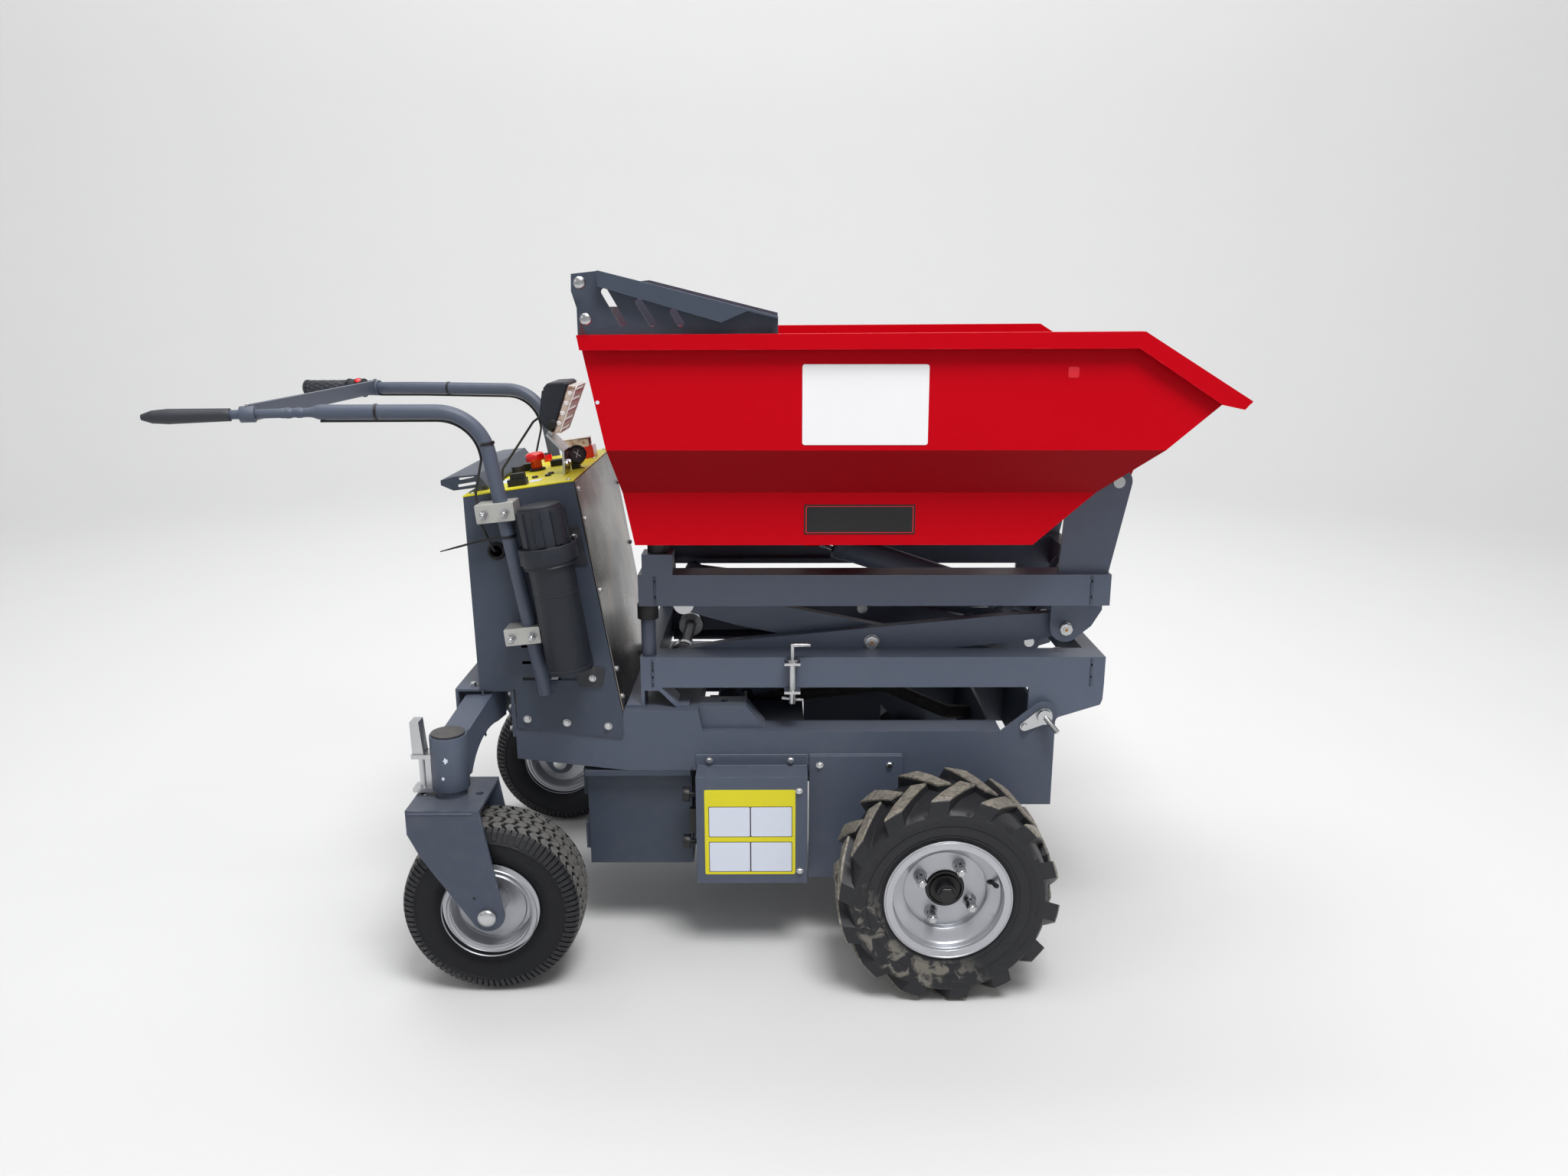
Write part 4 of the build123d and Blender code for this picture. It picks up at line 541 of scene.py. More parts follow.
def wheel_details(name, side):
    low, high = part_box(f"drive_tyre_{name}")
    centre = (low + high) / 2
    out = Vector((0, side, 0))
    body = f"drive_wheel_{name}"
    rim_low, rim_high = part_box(f"drive_rim_{name}")
    rim_half = (rim_high.y - rim_low.y) / 2
    bm = bmesh.new()
    for r, v in ((0.1205, 0.0632), (0.1270, 0.0672), (0.1465, 0.0722)):
        ridge = [(r - 0.0012, v - 0.003), (r - 0.0008, v + 0.0012), (r + 0.0006, v + 0.0016),
                 (r + 0.0014, v - 0.003)]
        add_ring(bm, centre, out, ridge, 96)
    new_piece(f"sidewall_rings_{name}", bm, body, drive_rubber, 40)

    bm = bmesh.new()
    bands = ((0.1122, 0.0), (0.1000, 0.0075), (0.0985, 0.0215), (0.0870, 0.0400))
    add_rim_bands(bm, centre, out, rim_half, bands, 0.0013, 96)
    new_piece(f"rim_bands_{name}", bm, body, silver, 50)

    disc = centre + out * (rim_half - disc_depth)
    bm = bmesh.new()
    for k in range(4):
        a = radians(stud_turn + 90 * k)
        place = disc + Vector((stud_circle_r * cos(a), 0, stud_circle_r * sin(a)))
        add_turned(bm, place, out, [(0.0005, 0.0125), (0.003, 0.0125), (0.013, 0.0100)], 24)
        add_turned(bm, place, out, [(0.012, 0.0098), (0.0305, 0.0098), (0.0325, 0.0085)], 6)
        add_turned(bm, place, out, [(0.0325, 0.0064), (0.0345, 0.0064), (0.0355, 0.0055)], 16)
    new_piece(f"wheel_nuts_{name}", bm, body, zinc, 30)

    bm = bmesh.new()
    add_turned(bm, disc, out, [(0.0262, 0.0150), (0.0285, 0.0150), (0.0300, 0.0135)], 6)
    add_ring(bm, disc, out, [(0.0335, 0.0005), (0.0345, 0.004), (0.0300, 0.004), (0.0290, 0.0005)], 48)
    new_piece(f"hub_end_{name}", bm, body, deep, 30)

    bm = bmesh.new()
    foot = centre + Vector((0.0795, 0, 0.0180)) + out * (rim_half - 0.040)
    lean = (out * 0.9 + Vector((0.2, 0, 0.18))).normalized()
    add_turned(bm, foot, lean, [(0, 0.0065), (0.004, 0.0060), (0.014, 0.0032), (0.024, 0.0032),
                                (0.024, 0.0044), (0.033, 0.0044), (0.035, 0.003)], 14)
    new_piece(f"valve_{name}", bm, body, deep, 40)


for name, side in PAIR:
    wheel_details(name, side)


fork_plate_z = 364


def castor_details(name):
    fork_low, fork_high = node_at(f"castor_fork_{name}")
    pin_low, pin_high = node_at(f"castor_pin_{name}")
    axle = ((pin_low.x + pin_high.x) / 2, (pin_low.z + pin_high.z) / 2)
    bm = bmesh.new()
    for y, out in ((pin_low.y, NEAR), (pin_high.y, FAR)):
        add_turned(bm, at(axle[0], y, axle[1]), out,
                   [(-0.001, 0.0155), (0.0015, 0.0145), (0.0035, 0.0105), (0.0042, 0.004)], 28)
    new_piece(f"axle_caps_{name}", bm, f"castor_fork_{name}", zinc, 50)
    # stepped bands of the rim, hub face of the wheel, and a black disc in each cheek, painted shade for a
    # small hole
    bm = bmesh.new()
    rim_low, rim_high = node_at(f"castor_rim_{name}")
    middle = at(axle[0], (rim_low.y + rim_high.y) / 2, axle[1])
    rim_half = (rim_high.y - rim_low.y) / 2000
    for out in (NEAR, FAR):
        bands = ((0.0862, 0.0), (0.0765, 0.0), (0.0735, 0.008), (0.0620, 0.026))
        add_rim_bands(bm, middle, out, rim_half, bands, 0.0012, 80)
    new_piece(f"castor_rim_bands_{name}", bm, f"castor_wheel_{name}", silver, 50)
    bm = bmesh.new()
    for out in (NEAR, FAR):
        hub = at(axle[0], (fork_low.y + fork_high.y) / 2, axle[1]) + out * 0.0655
        add_turned(bm, hub, out, [(-0.004, 0.0225), (0.0, 0.0225), (0.001, 0.0205)], 28)
    new_piece(f"castor_hub_faces_{name}", bm, f"castor_wheel_{name}", silver, 40)
    # black discs: painted shade in the cheeks' small holes
    bm = bmesh.new()
    for y, out in ((fork_low.y, NEAR), (fork_high.y, FAR)):
        add_turned(bm, at(axle[0] - 22, y, axle[1] + 35), out, [(-0.001, 0.0030), (0.0002, 0.0030)], 14)
    new_piece(f"cheek_hole_shade_{name}", bm, f"castor_fork_{name}", deep, None)
    # weld along the top plate's edge
    bm = bmesh.new()
    for y in (fork_low.y, fork_high.y):
        add_bead(bm, at(fork_low.x + 4, y, fork_plate_z), at(fork_low.x + 118, y, fork_plate_z), 0.0018)
    new_piece(f"fork_welds_{name}", bm, f"castor_fork_{name}", slate, 60)


for name, _ in PAIR:
    castor_details(name)
print("wheel details")

# %% [markdown]
# Hex bolts where the plates meet: one piece for each group of heads.

# %% Bolts
def bolts(name, body, places):
    bm = bmesh.new()
    for place, normal, size in places:
        add_bolt(bm, place, normal, size)
    new_piece(name, bm, body, zinc, 30)


places = []
for side, out in SIDES:
    for x, z in ((-779.6, 467.7), (-704.9, 460.2), (-626.6, 453.3)):
        places.append((at(x, side * 235, z), out, 0.0062))
    for x in (-435.4, -279.4):
        places.append((at(x, side * 235.2, 383), out, 0.0058))
    for x in (-223.5, -89.4):
        places.append((at(x, side * 235, 373), out, 0.0058))
    places.append((at(-885, side * 208, 527), UP, 0.0062))
    for z in (516, 490, 447):
        places.append((at(-810, side * 226, z), -RIGHT, 0.0056))
for x, z in ((-264, 344), (-262, 179)):
    places.append((at(x, -290, z), NEAR, 0.0055))
for x, z in ((-674.8, 821.8), (-652, 550.3)):
    places.append((at(x, -239.3, z), NEAR, 0.0055))
bolts("steel_bolts", "chassis", places)

panel_foot, panel_top = Vector((-596.5, 0, 484)), Vector((-668.5, 0, 923))
panel_up = (panel_top - panel_foot).normalized()
panel_out = Vector((panel_up.z, 0, -panel_up.x))
places = []
for z in (907, 852, 717, 564, 509):
    on = panel_foot + panel_up * ((z - panel_foot.z) / panel_up.z)
    places += [(at(on.x, y, on.z), panel_out, 0.0050) for y in (-221, 221)]
bolts("panel_bolts", "chassis", places)

clamp_depth, clamp_slope = 0.048, 0.105
clamps, nuts = bmesh.new(), bmesh.new()
for side, out in SIDES:
    for x, z, wide, high in ((-805.5, 873, 70, 34), (-769, 645, 66, 32)):
        along = Vector((1, 0, clamp_slope)).normalized()
        rise = Vector((-clamp_slope, 0, 1)).normalized()
        outline = rounded(wide / 1000, high / 1000, 0.002, 2)
        centre = at(x, side * 235.4, z)
        loop = [centre + along * u + rise * v for u, v in outline]
        add_prism(clamps, loop, out * clamp_depth)
        for shift in (-20, 18):
            spot = centre + along * (shift / 1000) - rise * 0.002 + out * clamp_depth
            add_turned(nuts, spot, out, [(-0.001, 0.0088), (0.0016, 0.0088)], 24)
            add_turned(nuts, spot, out, [(0.0014, 0.0076), (0.0095, 0.0076), (0.0108, 0.0066)], 6)
            add_turned(nuts, spot, out, [(0.0100, 0.0046), (0.0145, 0.0046), (0.0155, 0.0036)], 16)
clamp_blocks = new_piece("clamp_blocks", clamps, "chassis", brushed, None)
bevel(clamp_blocks, 0.0012)
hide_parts("handle_clamps")
new_piece("clamp_nuts", nuts, "chassis", zinc, 30)


def pin_heads(name, body, x, z, half_width, radius):
    """Nut with a brass-coloured centre on both ends of a pin."""
    heads, dots = bmesh.new(), bmesh.new()
    for y, out in ((-half_width, NEAR), (half_width, FAR)):
        place = at(x, y, z)
        add_turned(heads, place, out, [(-0.001, radius), (0.0030, radius), (0.0045, radius * 0.9)], 8)
        add_turned(heads, place, out, [(0.0040, radius * 0.5), (0.0060, radius * 0.45)], 20)
        add_turned(dots, place, out, [(0.0058, radius * 0.26), (0.0066, radius * 0.22)], 14)
    new_piece(f"{name}_heads", heads, body, zinc, 30)
    new_piece(f"{name}_dots", dots, body, brass, 30)


pin_heads("centre_pin", "outer_arms", -121, 594, 151.5, 0.0145)
pin_heads("upper_pin", "upper_frame", 243, 634, 202, 0.0130)
print("bolts")

# %% [markdown]
# Control panel: the stop button's dome, key switch, gauge face, guarded switch and blank labels.

# %% Control panel details
panel_length, panel_drop = 203, 29.3
panel_run = Vector((-panel_length, 0, -panel_drop)).normalized()
panel_normal = Vector((-panel_drop, 0, panel_length)).normalized()


def on_panel(along, y, height=0.0):
    """A place on the control panel: along its slope from the front edge, and height above it, in mm."""
    spot = Vector((-671.3, 0, 925.6)) + panel_run * along + panel_normal * height
    return at(spot.x, y, spot.z)


bm = bmesh.new()
add_turned(bm, on_panel(115, 0, 29), panel_normal,
           [(0, 0.0192), (0.003, 0.0190), (0.0065, 0.0150), (0.0078, 0.008)], 32)
new_piece("stop_button_dome", bm, "chassis", glossy_red, 50)

bm = bmesh.new()
add_turned(bm, on_panel(115, 0, -0.2), panel_normal, [(0, 0.0165), (0.004, 0.0165), (0.005, 0.0150)], 32)
add_turned(bm, on_panel(122, 148, 13.5), panel_normal, [(0, 0.0085), (0.003, 0.0075), (0.004, 0.005)], 24)
for along, y in ((70, -120), (95, -120), (70, -92), (150, 90)):
    add_turned(bm, on_panel(along, y, 0), panel_normal, [(0, 0.0062), (0.002, 0.0062), (0.0035, 0.0045)], 16)
new_piece("panel_bezels", bm, "chassis", deep, 40)

bm = bmesh.new()
for along in (12, 190):
    for y in (-222, -75, 75, 222):
        add_turned(bm, on_panel(along, y, -0.3), panel_normal,
                   [(0, 0.0045), (0.0015, 0.0045), (0.0026, 0.0030)], 14)
new_piece("panel_screws", bm, "chassis", zinc, 40)

bm = bmesh.new()
for along, y, deep_by, wide in ((150, -110, 22, 60), (60, 30, 16, 44), (168, 60, 16, 60), (85, -165, 22, 30)):
    add_plate(bm, rounded(deep_by / 1000, wide / 1000, 0.002, 3), 0.0005, on_panel(along, y, -0.3),
              -panel_run, FAR)
new_piece("blank_labels", bm, "chassis", pale, None)

# gauge: bezel, black face and pale pointer, looking at the driver's side
looks = Vector((0.25, -0.9, 0.35)).normalized()
dial = at(-692, -72, 951)
bm = bmesh.new()
add_ring(bm, dial + looks * 0.0005, looks,
         [(0.0140, 0.0), (0.0140, 0.0030), (0.0160, 0.0040), (0.0178, 0.0020), (0.0178, -0.006),
          (0.0168, -0.006)], 40)
new_piece("gauge_bezel", bm, "chassis", plastic, 40)
bm = bmesh.new()
add_turned(bm, dial, looks, [(0.0001, 0.0136), (0.0008, 0.0136)], 32)
new_piece("gauge_face", bm, "chassis", deep, None)
bm = bmesh.new()
dial_right = looks.cross(UP).normalized()
dial_up = dial_right.cross(looks).normalized()
for lean in (-0.3, 0.9):
    line = (dial_up * cos(lean) + dial_right * sin(lean)).normalized()
    add_plate(bm, [(-0.0007, -0.008), (0.0007, -0.008), (0.0004, 0.009), (-0.0004, 0.009)], 0.0005,
              dial + looks * 0.0009, line.cross(looks).normalized() * -1, line)
new_piece("gauge_marks", bm, "chassis", pale, None)

# clear cover over the guarded switch
bm = bmesh.new()
for side in (-1, 1):
    add_plate(bm, rounded(0.050, 0.018, 0.003, 3), 0.002, on_panel(45, 108 + side * 17, 33), -panel_run,
              panel_normal)
add_plate(bm, rounded(0.052, 0.038, 0.003, 3), 0.002, on_panel(45, 108, 41), -panel_run, FAR)
new_piece("switch_guard", bm, "chassis", lens, None)
print("panel at", [round(v, 3) for v in on_panel(115, 0)])

# %% [markdown]
# Lamp: cooling fins behind, a rim round the lens and rows of small reflector cells in front of it.

# %% Work lamp
def side_profile(name, profile, y0, y1, material, edge):
    """Solid with a profile seen from the side, from y0 to y1, with rounded edges."""
    bm = bmesh.new()
    skin(bm, [[bm.verts.new(at(x, y, z)) for x, z in profile] for y in (y0, y1)])
    obj = new_piece(name, bm, "chassis", material, None)
    bevel(obj, edge, 3)
    return obj


lamp_mid_y = -97.5
housing = side_profile("lamp_housing",
                       [(-745, 1021), (-736, 1083), (-728, 1092), (-697, 1094), (-690, 1090), (-722, 999),
                        (-738, 1010)],
                 -150, -45, plastic, 0.004)
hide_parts("work_lamp")
glass = side_profile("lamp_glass_block", [(-690.5, 1088.5), (-674, 1087), (-710, 998.5), (-721, 1001)],
                     -148, -47, lens, 0.004)
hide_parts("lamp_lens")
lens_foot, lens_top = Vector((-710, 0, 998.5)), Vector((-674, 0, 1087))
lens_up = (lens_top - lens_foot).normalized()
lens_out = Vector((lens_up.z, 0, -lens_up.x))
lens_mid = (lens_foot + lens_top) / 2
row_pitch = 20
cells, facets = bmesh.new(), bmesh.new()
for row in range(4):
    for column in range(5):
        spot = lens_mid + lens_up * (row - 1.5) * row_pitch
        place = at(spot.x, lamp_mid_y + (column - 2) * 18.5, spot.z)
        add_turned(cells, place, lens_out, [(-0.0002, 0.0086), (0.0006, 0.0084), (0.0013, 0.0050)], 10)
    for side, out in ((-148, NEAR), (-47, FAR)):
        spot = (lens_mid + lens_up * (row - 1.5) * row_pitch) - lens_out * 7
        add_turned(facets, at(spot.x, side, spot.z), out, [(-0.0005, 0.0058), (0.0008, 0.0040)], 5)
new_piece("lamp_cells", cells, "chassis", white, 30)
new_piece("lamp_facets", facets, "chassis", white, None)

bm = bmesh.new()
centre = at(lens_mid.x, lamp_mid_y, lens_mid.z)
outer = rounded(0.101, 0.0950, 0.006, 4)
rings = []
for share, height in ((0.91, -0.0010), (0.91, 0.0010), (0.995, 0.0010), (0.995, -0.0010)):
    rings.append([bm.verts.new(centre + FAR * u * share + lens_up * v * share + lens_out * height)
                  for u, v in outer])
skin(bm, rings, close=True)
new_piece("lamp_rim", bm, "chassis", white, None)

back_foot, back_top = Vector((-745, 0, 1021)), Vector((-736, 0, 1083))
back_up = (back_top - back_foot).normalized()
back_in = Vector((back_up.z, 0, -back_up.x))
bm = bmesh.new()
for column in range(9):
    y = lamp_mid_y + (column - 4) * 10.5
    loop = [at(back_foot.x, y - 1.3, back_foot.z) + back_in * u + back_up * v
           for u, v in ((-0.0035, 0.003), (-0.0035, 0.056), (0.010, 0.062), (0.010, -0.002))]
    add_prism(bm, loop, FAR * 0.0026)
new_piece("lamp_fins", bm, "chassis", plastic, None)
bm = bmesh.new()
for side, out in ((-150, NEAR), (-45, FAR)):
    add_turned(bm, at(-722, side, 1017), out, [(-0.001, 0.0085), (0.0025, 0.0085), (0.0035, 0.0070)], 20)
new_piece("lamp_pivots", bm, "chassis", deep, 40)
bolts("lamp_bolts", "chassis", [(at(-704, y, 940), RIGHT, 0.0055) for y in (-97.5, -126)])
print("lamp")

# %% [markdown]
# Blank plates: the sign on the power unit's box and the plates on the skip, all without text.

# %% Signs and plates
def flat(name, outline, thick, place, right, up, material, body):
    bm = bmesh.new()
    add_plate(bm, outline, thick, place, right, up)
    return new_piece(name, bm, body, material, None)


flat("sign_plate", rounded(0.172, 0.174, 0.003, 3), 0.0008, at(-357, -290, 259), RIGHT, UP, sign_yellow,
     "chassis")
fields, frames = bmesh.new(), bmesh.new()
for x in (-395.8, -316.5):
    for z in (281, 208.5):
        add_plate(frames, rounded(0.0795, 0.0625, 0.002, 3), 0.0010, at(x, -290, z), RIGHT, UP)
        add_plate(fields, rounded(0.0770, 0.0600, 0.002, 3), 0.0012, at(x, -290, z), RIGHT, UP)
new_piece("sign_fields", fields, "chassis", pale, None)
new_piece("sign_frames", frames, "chassis", deep, None)

upper_wall = Vector((0, 7, 194)).normalized()
wall_up = Vector((0, 6, 92)).normalized()
wall_out = RIGHT.cross(wall_up)
maker_at = at(-161, -319, 868)
flat("skip_plate", rounded(0.209, 0.132, 0.004, 4), 0.0010, at(-158.5, -375.3, 1071), RIGHT, upper_wall,
     white, "skip")
flat("maker_plate", rounded(0.194, 0.052, 0.002, 3), 0.0008, maker_at, RIGHT, wall_up, deep, "skip")
bm = bmesh.new()
outer = rounded(0.188, 0.047, 0.002, 3)
centre = maker_at + wall_out * 0.0008
rings = []
for share, height in ((0.985, 0), (0.985, 0.0003), (1.0, 0.0003), (1.0, 0)):
    tall = share - (1 - share) * 2
    rings.append([bm.verts.new(centre + RIGHT * u * share + wall_up * v * tall + wall_out * height)
                  for u, v in outer])
skin(bm, rings, close=True)
new_piece("maker_plate_line", bm, "skip", glossy_red, None)
flat("skip_square", rounded(0.018, 0.018, 0.003, 4), 0.0009, at(184, -373.4, 1124), RIGHT, upper_wall,
     pad_red, "skip")
bm = bmesh.new()
add_turned(bm, at(-601.5, -375.2, 1075), NEAR, [(0, 0.0032), (0.0006, 0.0032)], 18)
new_piece("skip_hole", bm, "skip", pale, None)
# Black discs on the far wall's inside: painted shade for two holes.
bm = bmesh.new()
for x in (-201, 76):
    add_turned(bm, at(x, 371.5, 1176), NEAR, [(-0.003, 0.0045), (0.0006, 0.0045)], 18)
new_piece("rim_hole_shade", bm, "skip", deep, None)
bm = bmesh.new()
for side, out in SIDES:
    for x, z in ((-619.6, 1266), (-611.8, 1209.5)):
        add_turned(bm, at(x, side * 397, z), out,
                   [(-0.001, 0.0100), (0.002, 0.0095), (0.0045, 0.0065), (0.0052, 0.003)], 24)
new_piece("guard_bolts", bm, "skip", zinc, 50)
print("plates")

# %% [markdown]
# Document tube: a moulded lip on the cap, a lid disc without its pictogram, and rings round the tube.

# %% Document tube
cap_top, tube_foot = Vector((-725, -291, 889)), Vector((-681, -291, 583))
tube_axis = (cap_top - tube_foot).normalized()
tube_top = at(*cap_top)
bm = bmesh.new()
add_ring(bm, tube_top - tube_axis * 0.074, tube_axis,
         [(0.0520, -0.001), (0.0520, 0.0016), (0.0505, 0.0030), (0.0490, -0.001)], 64)
add_ring(bm, tube_top - tube_axis * 0.108, tube_axis,
         [(0.0478, -0.002), (0.0492, 0.0005), (0.0478, 0.003), (0.0465, 0.0005)], 64)
add_turned(bm, tube_top - tube_axis * 0.0005, tube_axis, [(0, 0.0350), (0.0014, 0.0340), (0.0020, 0.0310)],
           48)
for depth in (0.160, 0.300):
    add_ring(bm, tube_top - tube_axis * depth, tube_axis,
             [(0.0405, -0.002), (0.0420, -0.001), (0.0420, 0.001), (0.0405, 0.002)], 64)
new_piece("document_tube_rings", bm, "chassis", plastic, 40)
print("tube")

# %% [markdown]
# Handlebars: tape rings round the tubes, the crimp before the near grip, ribs on the far grip, the small
# switch with its red button, and the cable ties with one cut tail.

# %% Handlebars
def add_band(bm, place, along, radius, width, thick, sides=28):
    """Flat ring round a tube."""
    half, inner, outer = width / 2, radius - 0.0004, radius + thick
    add_ring(bm, place, along, [(inner, -half), (outer, -half), (outer, half), (inner, half)], sides)


handle_foot, handle_bend = Vector((-736, -264, 529)), Vector((-826.9, -264, 1050))
elbow, grip_end = Vector((-1086.9, -294, 1052)), Vector((-1372, -346, 1048))
grip_dir = (grip_end - elbow).normalized()


def to_far(v):
    return Vector((v.x, -v.y, v.z))


bm = bmesh.new()
post = (handle_bend - handle_foot).normalized()
arm = (elbow - handle_bend).normalized()
for mirrored in (False, True):
    turn = to_far if mirrored else Vector
    for start, along, t in ((handle_bend, arm, 174 if not mirrored else 208), (handle_foot, post, 472),
                            (handle_foot, post, 303)):
        spot = turn(start + along * t)
        add_band(bm, at(*spot), turn(along), 0.0130, 0.005 if t > 300 else 0.0045, 0.0012)
new_piece("tape_rings", bm, "chassis", deep, 40)

bm = bmesh.new()
knot = at(-802, -264, 826)
tail = [knot, at(-840, -264, 819), at(-880, -263, 808), at(-913, -262, 799)]
rings = []
for p, half in zip(tail, (2.2, 2.1, 1.9, 1.0)):
    corners = ((-0.0006, -half), (0.0006, -half), (0.0006, half), (-0.0006, half))
    rings.append([bm.verts.new(p + Vector((0, y, z / 1000))) for y, z in corners])
skin(bm, rings)
add_plate(bm, [(-0.003, -0.0025), (0.003, -0.0025), (0.003, 0.0025), (-0.003, 0.0025)], 0.005,
          knot + Vector((0, 0.0025, 0)), RIGHT, UP)
new_piece("cable_tie_tail", bm, "chassis", deep, None)

# grommets where the cables enter the box
bm = bmesh.new()
for side, out in SIDES:
    add_ring(bm, at(-818, side * 235, 794), out,
             [(0.0100, -0.001), (0.0105, 0.0030), (0.0132, 0.0052), (0.0165, 0.0030), (0.0170, 0.0)], 36)
new_piece("grommets", bm, "chassis", rubber, 50)

# near bar: its crimp and pressed joint
bar_start = grip_end - grip_dir * 285
bm = bmesh.new()
add_turned(bm, at(*(bar_start - grip_dir * 2)), grip_dir,
           [(-0.010, 0.0131), (0, 0.0134), (0.006, 0.0125), (0.014, 0.0092), (0.020, 0.0082)], 28)
for t, r in ((34, 9.0), (52, 9.4), (60, 8.8)):
    place = bar_start + grip_dir * t
    add_turned(bm, at(*(place - grip_dir * 7)), grip_dir,
               [(0, 0.0080), (0.004, r / 1000), (0.010, r / 1000), (0.014, 0.0080)], 20)
new_piece("bar_joint", bm, "chassis", slate, 50)

# far grip: staggered lozenges between two collars
far_end, far_dir = to_far(grip_end), to_far(grip_dir)
axis_frame = basis(far_dir)
along = far_dir.normalized()
lozenge_rows, lozenges_a_row = 8, 12
bm = bmesh.new()
for ring in range(lozenge_rows):
    place = at(*(far_end - far_dir * (94 - ring * 12)))
    for k in range(lozenges_a_row):
        a = 2 * pi * (k + 0.5 * (ring % 2)) / lozenges_a_row
        out = axis_frame @ Vector((cos(a), sin(a), 0))
        beside = out.cross(along).normalized()
        foot = place + out * 0.0163
        levels = ((foot, 0.0062, 0.0034), (foot + out * 0.0013, 0.0040, 0.0018))
        skin(bm, [[bm.verts.new(p) for p in (c + along * u, c + beside * v, c - along * u, c - beside * v)]
                  for c, u, v in levels])
for t in (4, 101):
    add_band(bm, at(*(far_end - far_dir * t)), far_dir, 0.0165, 0.005, 0.0016, 36)
new_piece("far_grip_ribs", bm, "chassis", grip, None)

# switch housing on the far grip
switch_at = far_end - far_dir * 124
switch_up = Vector((0, -0.6, 0.8))
bm = bmesh.new()
add_turned(bm, at(switch_at.x + 8, switch_at.y - 12, switch_at.z + 15.6), switch_up,
           [(0, 0.0072), (0.003, 0.0068), (0.0042, 0.0045)], 24)
new_piece("horn_button", bm, "chassis", glossy_red, 50)
bm = bmesh.new()
add_ring(bm, at(switch_at.x + 8, switch_at.y - 11.8, switch_at.z + 15.2), switch_up,
         [(0.0074, 0), (0.0074, 0.0026), (0.0092, 0.0020), (0.0092, 0)], 28)
for t in (108, 142):
    add_band(bm, at(*(far_end - far_dir * t)), far_dir, 0.0195, 0.004, 0.0012, 36)
new_piece("switch_rims", bm, "chassis", deep, 40)
bm = bmesh.new()
add_turned(bm, at(switch_at.x - 1, switch_at.y - 16.2, switch_at.z - 11),
           Vector((0, -0.85, -0.5)).normalized(), [(-0.002, 0.0042), (0.0018, 0.0042), (0.0026, 0.0030)], 14)
for flip in (1, -1):
    bar_at = grip_end - grip_dir * 168
    bolt_at = at(bar_at.x, flip * (bar_at.y + (-4 if flip < 0 else 0)), bar_at.z + (14 if flip > 0 else 17))
    add_bolt(bm, bolt_at, UP, 0.0038)
new_piece("handle_screws", bm, "chassis", zinc, 30)
print("handlebars")

# %% [markdown]
# Welds in the corners of the steel, and wiper rings and barrel rings on the cylinders.

# %% Welds and cylinders
def beads(name, body, runs, radius):
    bm = bmesh.new()
    for start, end in runs:
        add_bead(bm, at(*start), at(*end), radius)
    new_piece(name, bm, body, slate, 60)


# round the outriggers' roots and the sleeves, and along the chassis deck and box
beads("chassis_welds", "chassis", [
    ((-804, -231.5, 445), (-804, -231.5, 498)), ((-862, -231.5, 432), (-862, -231.5, 524)),
    ((-470, -231.5, 361), (-470, -231.5, 366)), ((-244, -231.5, 393), (-66, -231.5, 393)),
    ((-461, -231.8, 392.5), (-246, -231.8, 392.5)), ((-804, 231.5, 445), (-804, 231.5, 498)),
], 0.0020)
for body, name, x0, x1, z0 in (("chassis", "lower_frame_welds", -542, 294, 522),
                               ("upper_frame", "upper_frame_welds", -534, 284, 683)):
    runs = []
    for x in (x0, x1):
        for y in (-212.3, 212.3):
            runs.append(((x, y, z0 + 3), (x, y, z0 + 57)))
    beads(name, body, runs, 0.0026)


def cylinder_details(name, foot, eye, barrel_r, gland):
    foot, eye = Vector((foot[0], 0, foot[1])), Vector((eye[0], 0, eye[1]))
    along = (eye - foot).normalized()
    neck = foot + along * gland
    bm = bmesh.new()
    inner = barrel_r - 0.0004
    for place, outer, half in ((neck - along * 14, barrel_r + 0.0018, 0.011),
                               (foot + along * 86, barrel_r + 0.0014, 0.005)):
        chamfered = [(inner, -half - 0.001), (outer, -half), (outer, half), (inner, half + 0.001)]
        add_ring(bm, at(*place), along, chamfered, 48)
    new_piece(f"{name}_barrel_rings", bm, f"{name}_barrel", slate, 40)
    bm = bmesh.new()
    add_ring(bm, at(*(neck + along * 0.5)), along,
             [(0.0154, -0.001), (0.0154, 0.003), (0.0190, 0.003), (0.0205, 0.0), (0.0205, -0.001)], 40)
    new_piece(f"{name}_wiper", bm, f"{name}_barrel", rubber, 40)


cylinder_details("lift", (-400, 450), (96.6, 584.7), 0.028, 400)
cylinder_details("tip", (240, 617), (-235, 775), 0.027, 450)
# bare chips in the paint of the near sleeve
bm = bmesh.new()
for x, z, size in ((-893.5, 445.9, 5.2), (-900, 412, 3.4)):
    ragged = [(size * (0.75 + 0.3 * sin(5 * a + x)) * cos(a) / 1000,
               1.3 * size * (0.75 + 0.3 * cos(3 * a)) * sin(a) / 1000)
              for a in [2 * pi * i / 14 for i in range(14)]]
    add_plate(bm, ragged, 0.0016, at(x, -386.6, z), RIGHT, UP)
new_piece("sleeve_chips", bm, "chassis", pale, None)
print("welds and cylinders")

# %% [markdown]
# The floor is plain and pale, the light soft and mostly from above and the near side, and the camera
# stands at the near side, slightly above the skip's rim.

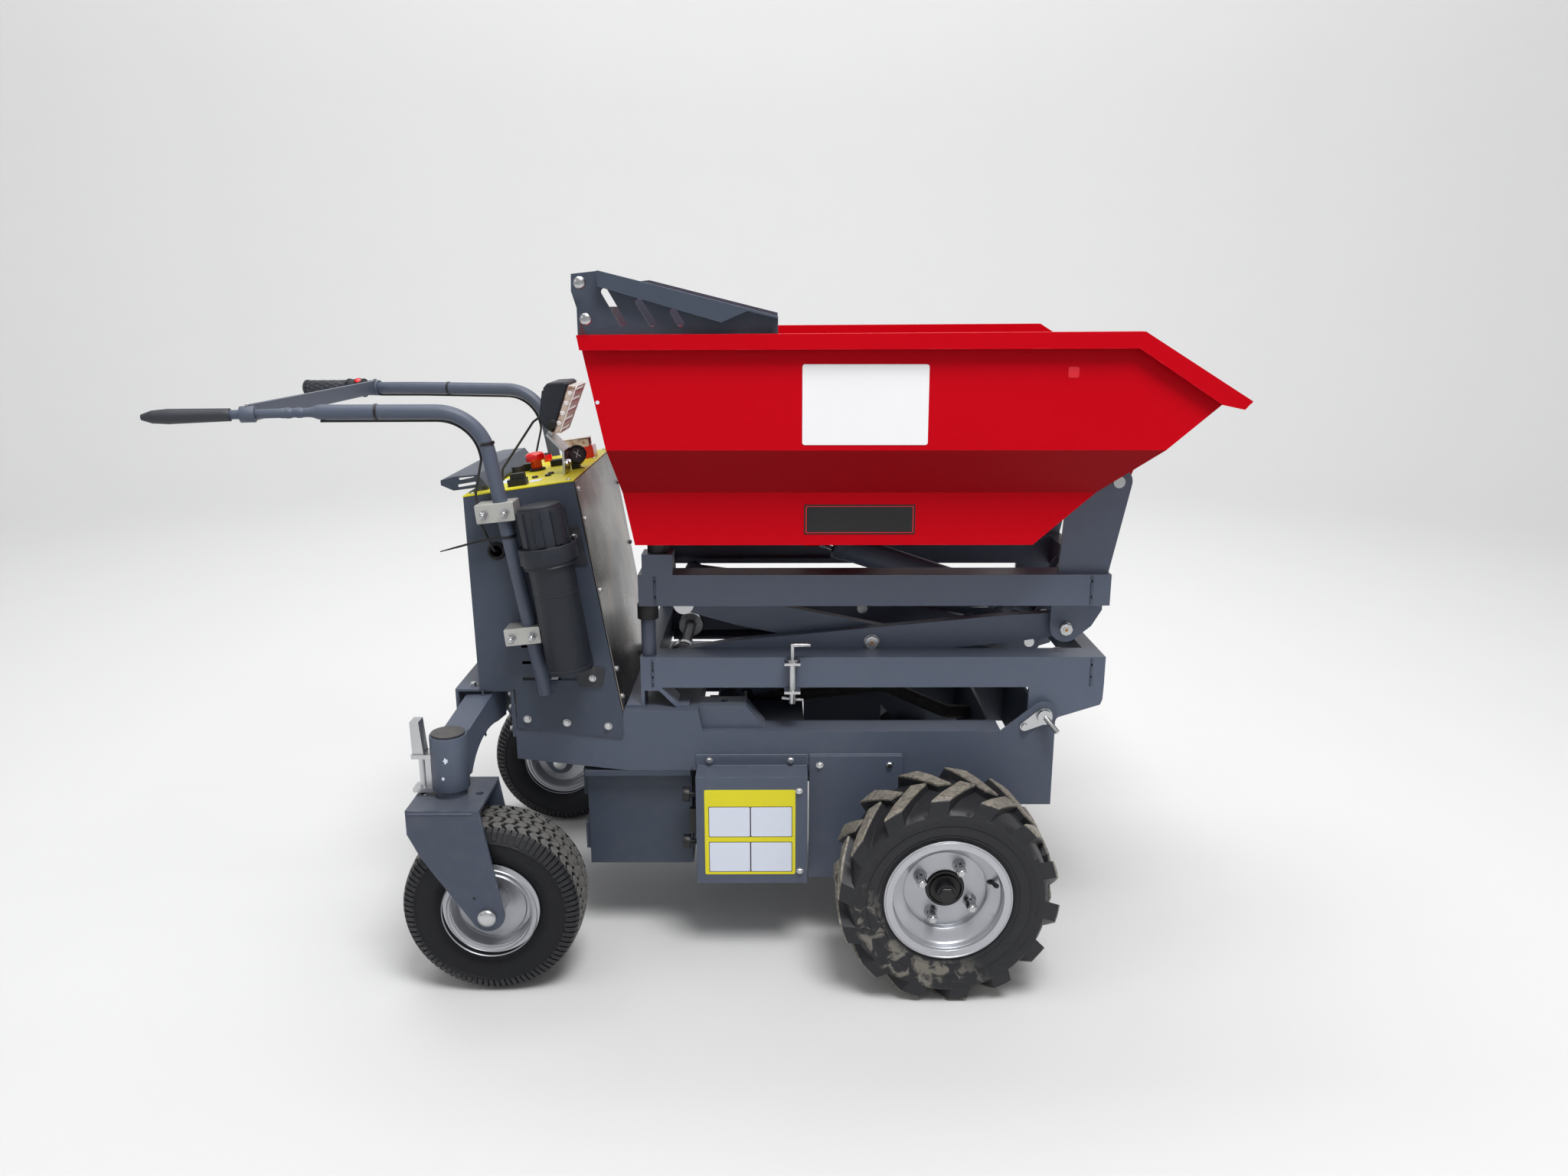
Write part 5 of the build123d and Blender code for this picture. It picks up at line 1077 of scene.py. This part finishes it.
# %% Stage, light and camera
bm = bmesh.new()
flat_r, curve_r, wall_top, floor_z = 6, 3, 10.0, -0.0005
curve = [(flat_r + curve_r * sin(radians(a)), curve_r - curve_r * cos(radians(a))) for a in range(10, 91, 10)]
sweep = [(5.5, floor_z), (flat_r, floor_z)] + curve + [(flat_r + curve_r, wall_top)]
turns = 48
rings = [[bm.verts.new((r * cos(2 * pi * i / turns), r * sin(2 * pi * i / turns), z))
          for i in range(turns)] for r, z in sweep]
for low, high in zip(rings, rings[1:]):
    for i in range(turns):
        j = (i + 1) % turns
        bm.faces.new((low[i], low[j], high[j], high[i]))
bm.faces.new(rings[0])
bmesh.ops.recalc_face_normals(bm, faces=bm.faces)
floor_mesh = bpy.data.meshes.new("floor")
bm.to_mesh(floor_mesh)
bm.free()
floor_mesh.shade_smooth()
floor = bpy.data.objects.new("floor", floor_mesh)
floor_mesh.materials.append(finish("floor_paint", (0.64, 0.64, 0.64), 0.95, vary=0.01, bump=0.0))
bpy.context.scene.collection.objects.link(floor)

world = bpy.data.worlds.new("studio")
bpy.context.scene.world = world
world.use_nodes = True
world.node_tree.nodes["Background"].inputs["Color"].default_value = (0.95, 0.97, 1.0, 1)
world.node_tree.nodes["Background"].inputs["Strength"].default_value = 0.24


def area_light(name, place, aim, size, watts, colour=(1, 1, 1)):
    data = bpy.data.lights.new(name, "AREA")
    data.size, data.energy, data.color = size, watts, colour
    light = bpy.data.objects.new(name, data)
    light.location = place
    light.rotation_euler = (Vector(aim) - Vector(place)).to_track_quat("-Z", "Y").to_euler()
    bpy.context.scene.collection.objects.link(light)


area_light("key_light", (0.9, -2.2, 4.6), (0.1, 0, 0.5), 1.7, 170)
area_light("side_light", (-3.4, -2.2, 2.8), (0, 0, 0.5), 1.8, 12)
area_light("wall_light", (0, 2.4, 7.0), (0, 8.6, 1.5), 6.0, 560)
area_light("near_wall_light", (0, -2.4, 7.5), (0, -8.6, 1.5), 6.0, 240)

camera_data = bpy.data.cameras.new("camera")
camera_data.lens, camera_data.sensor_width = 26.07, 36
down, roll, pan = 14.04, -0.02, -0.37  # degrees
camera = bpy.data.objects.new("camera", camera_data)
camera.location = at(-305.7, -2270.9, 1232.9)
camera.rotation_euler = (radians(90 - down), radians(roll), radians(pan))
bpy.context.scene.collection.objects.link(camera)
bpy.context.scene.camera = camera
bpy.context.scene.view_settings.view_transform = "Standard"
print("camera", camera.location)
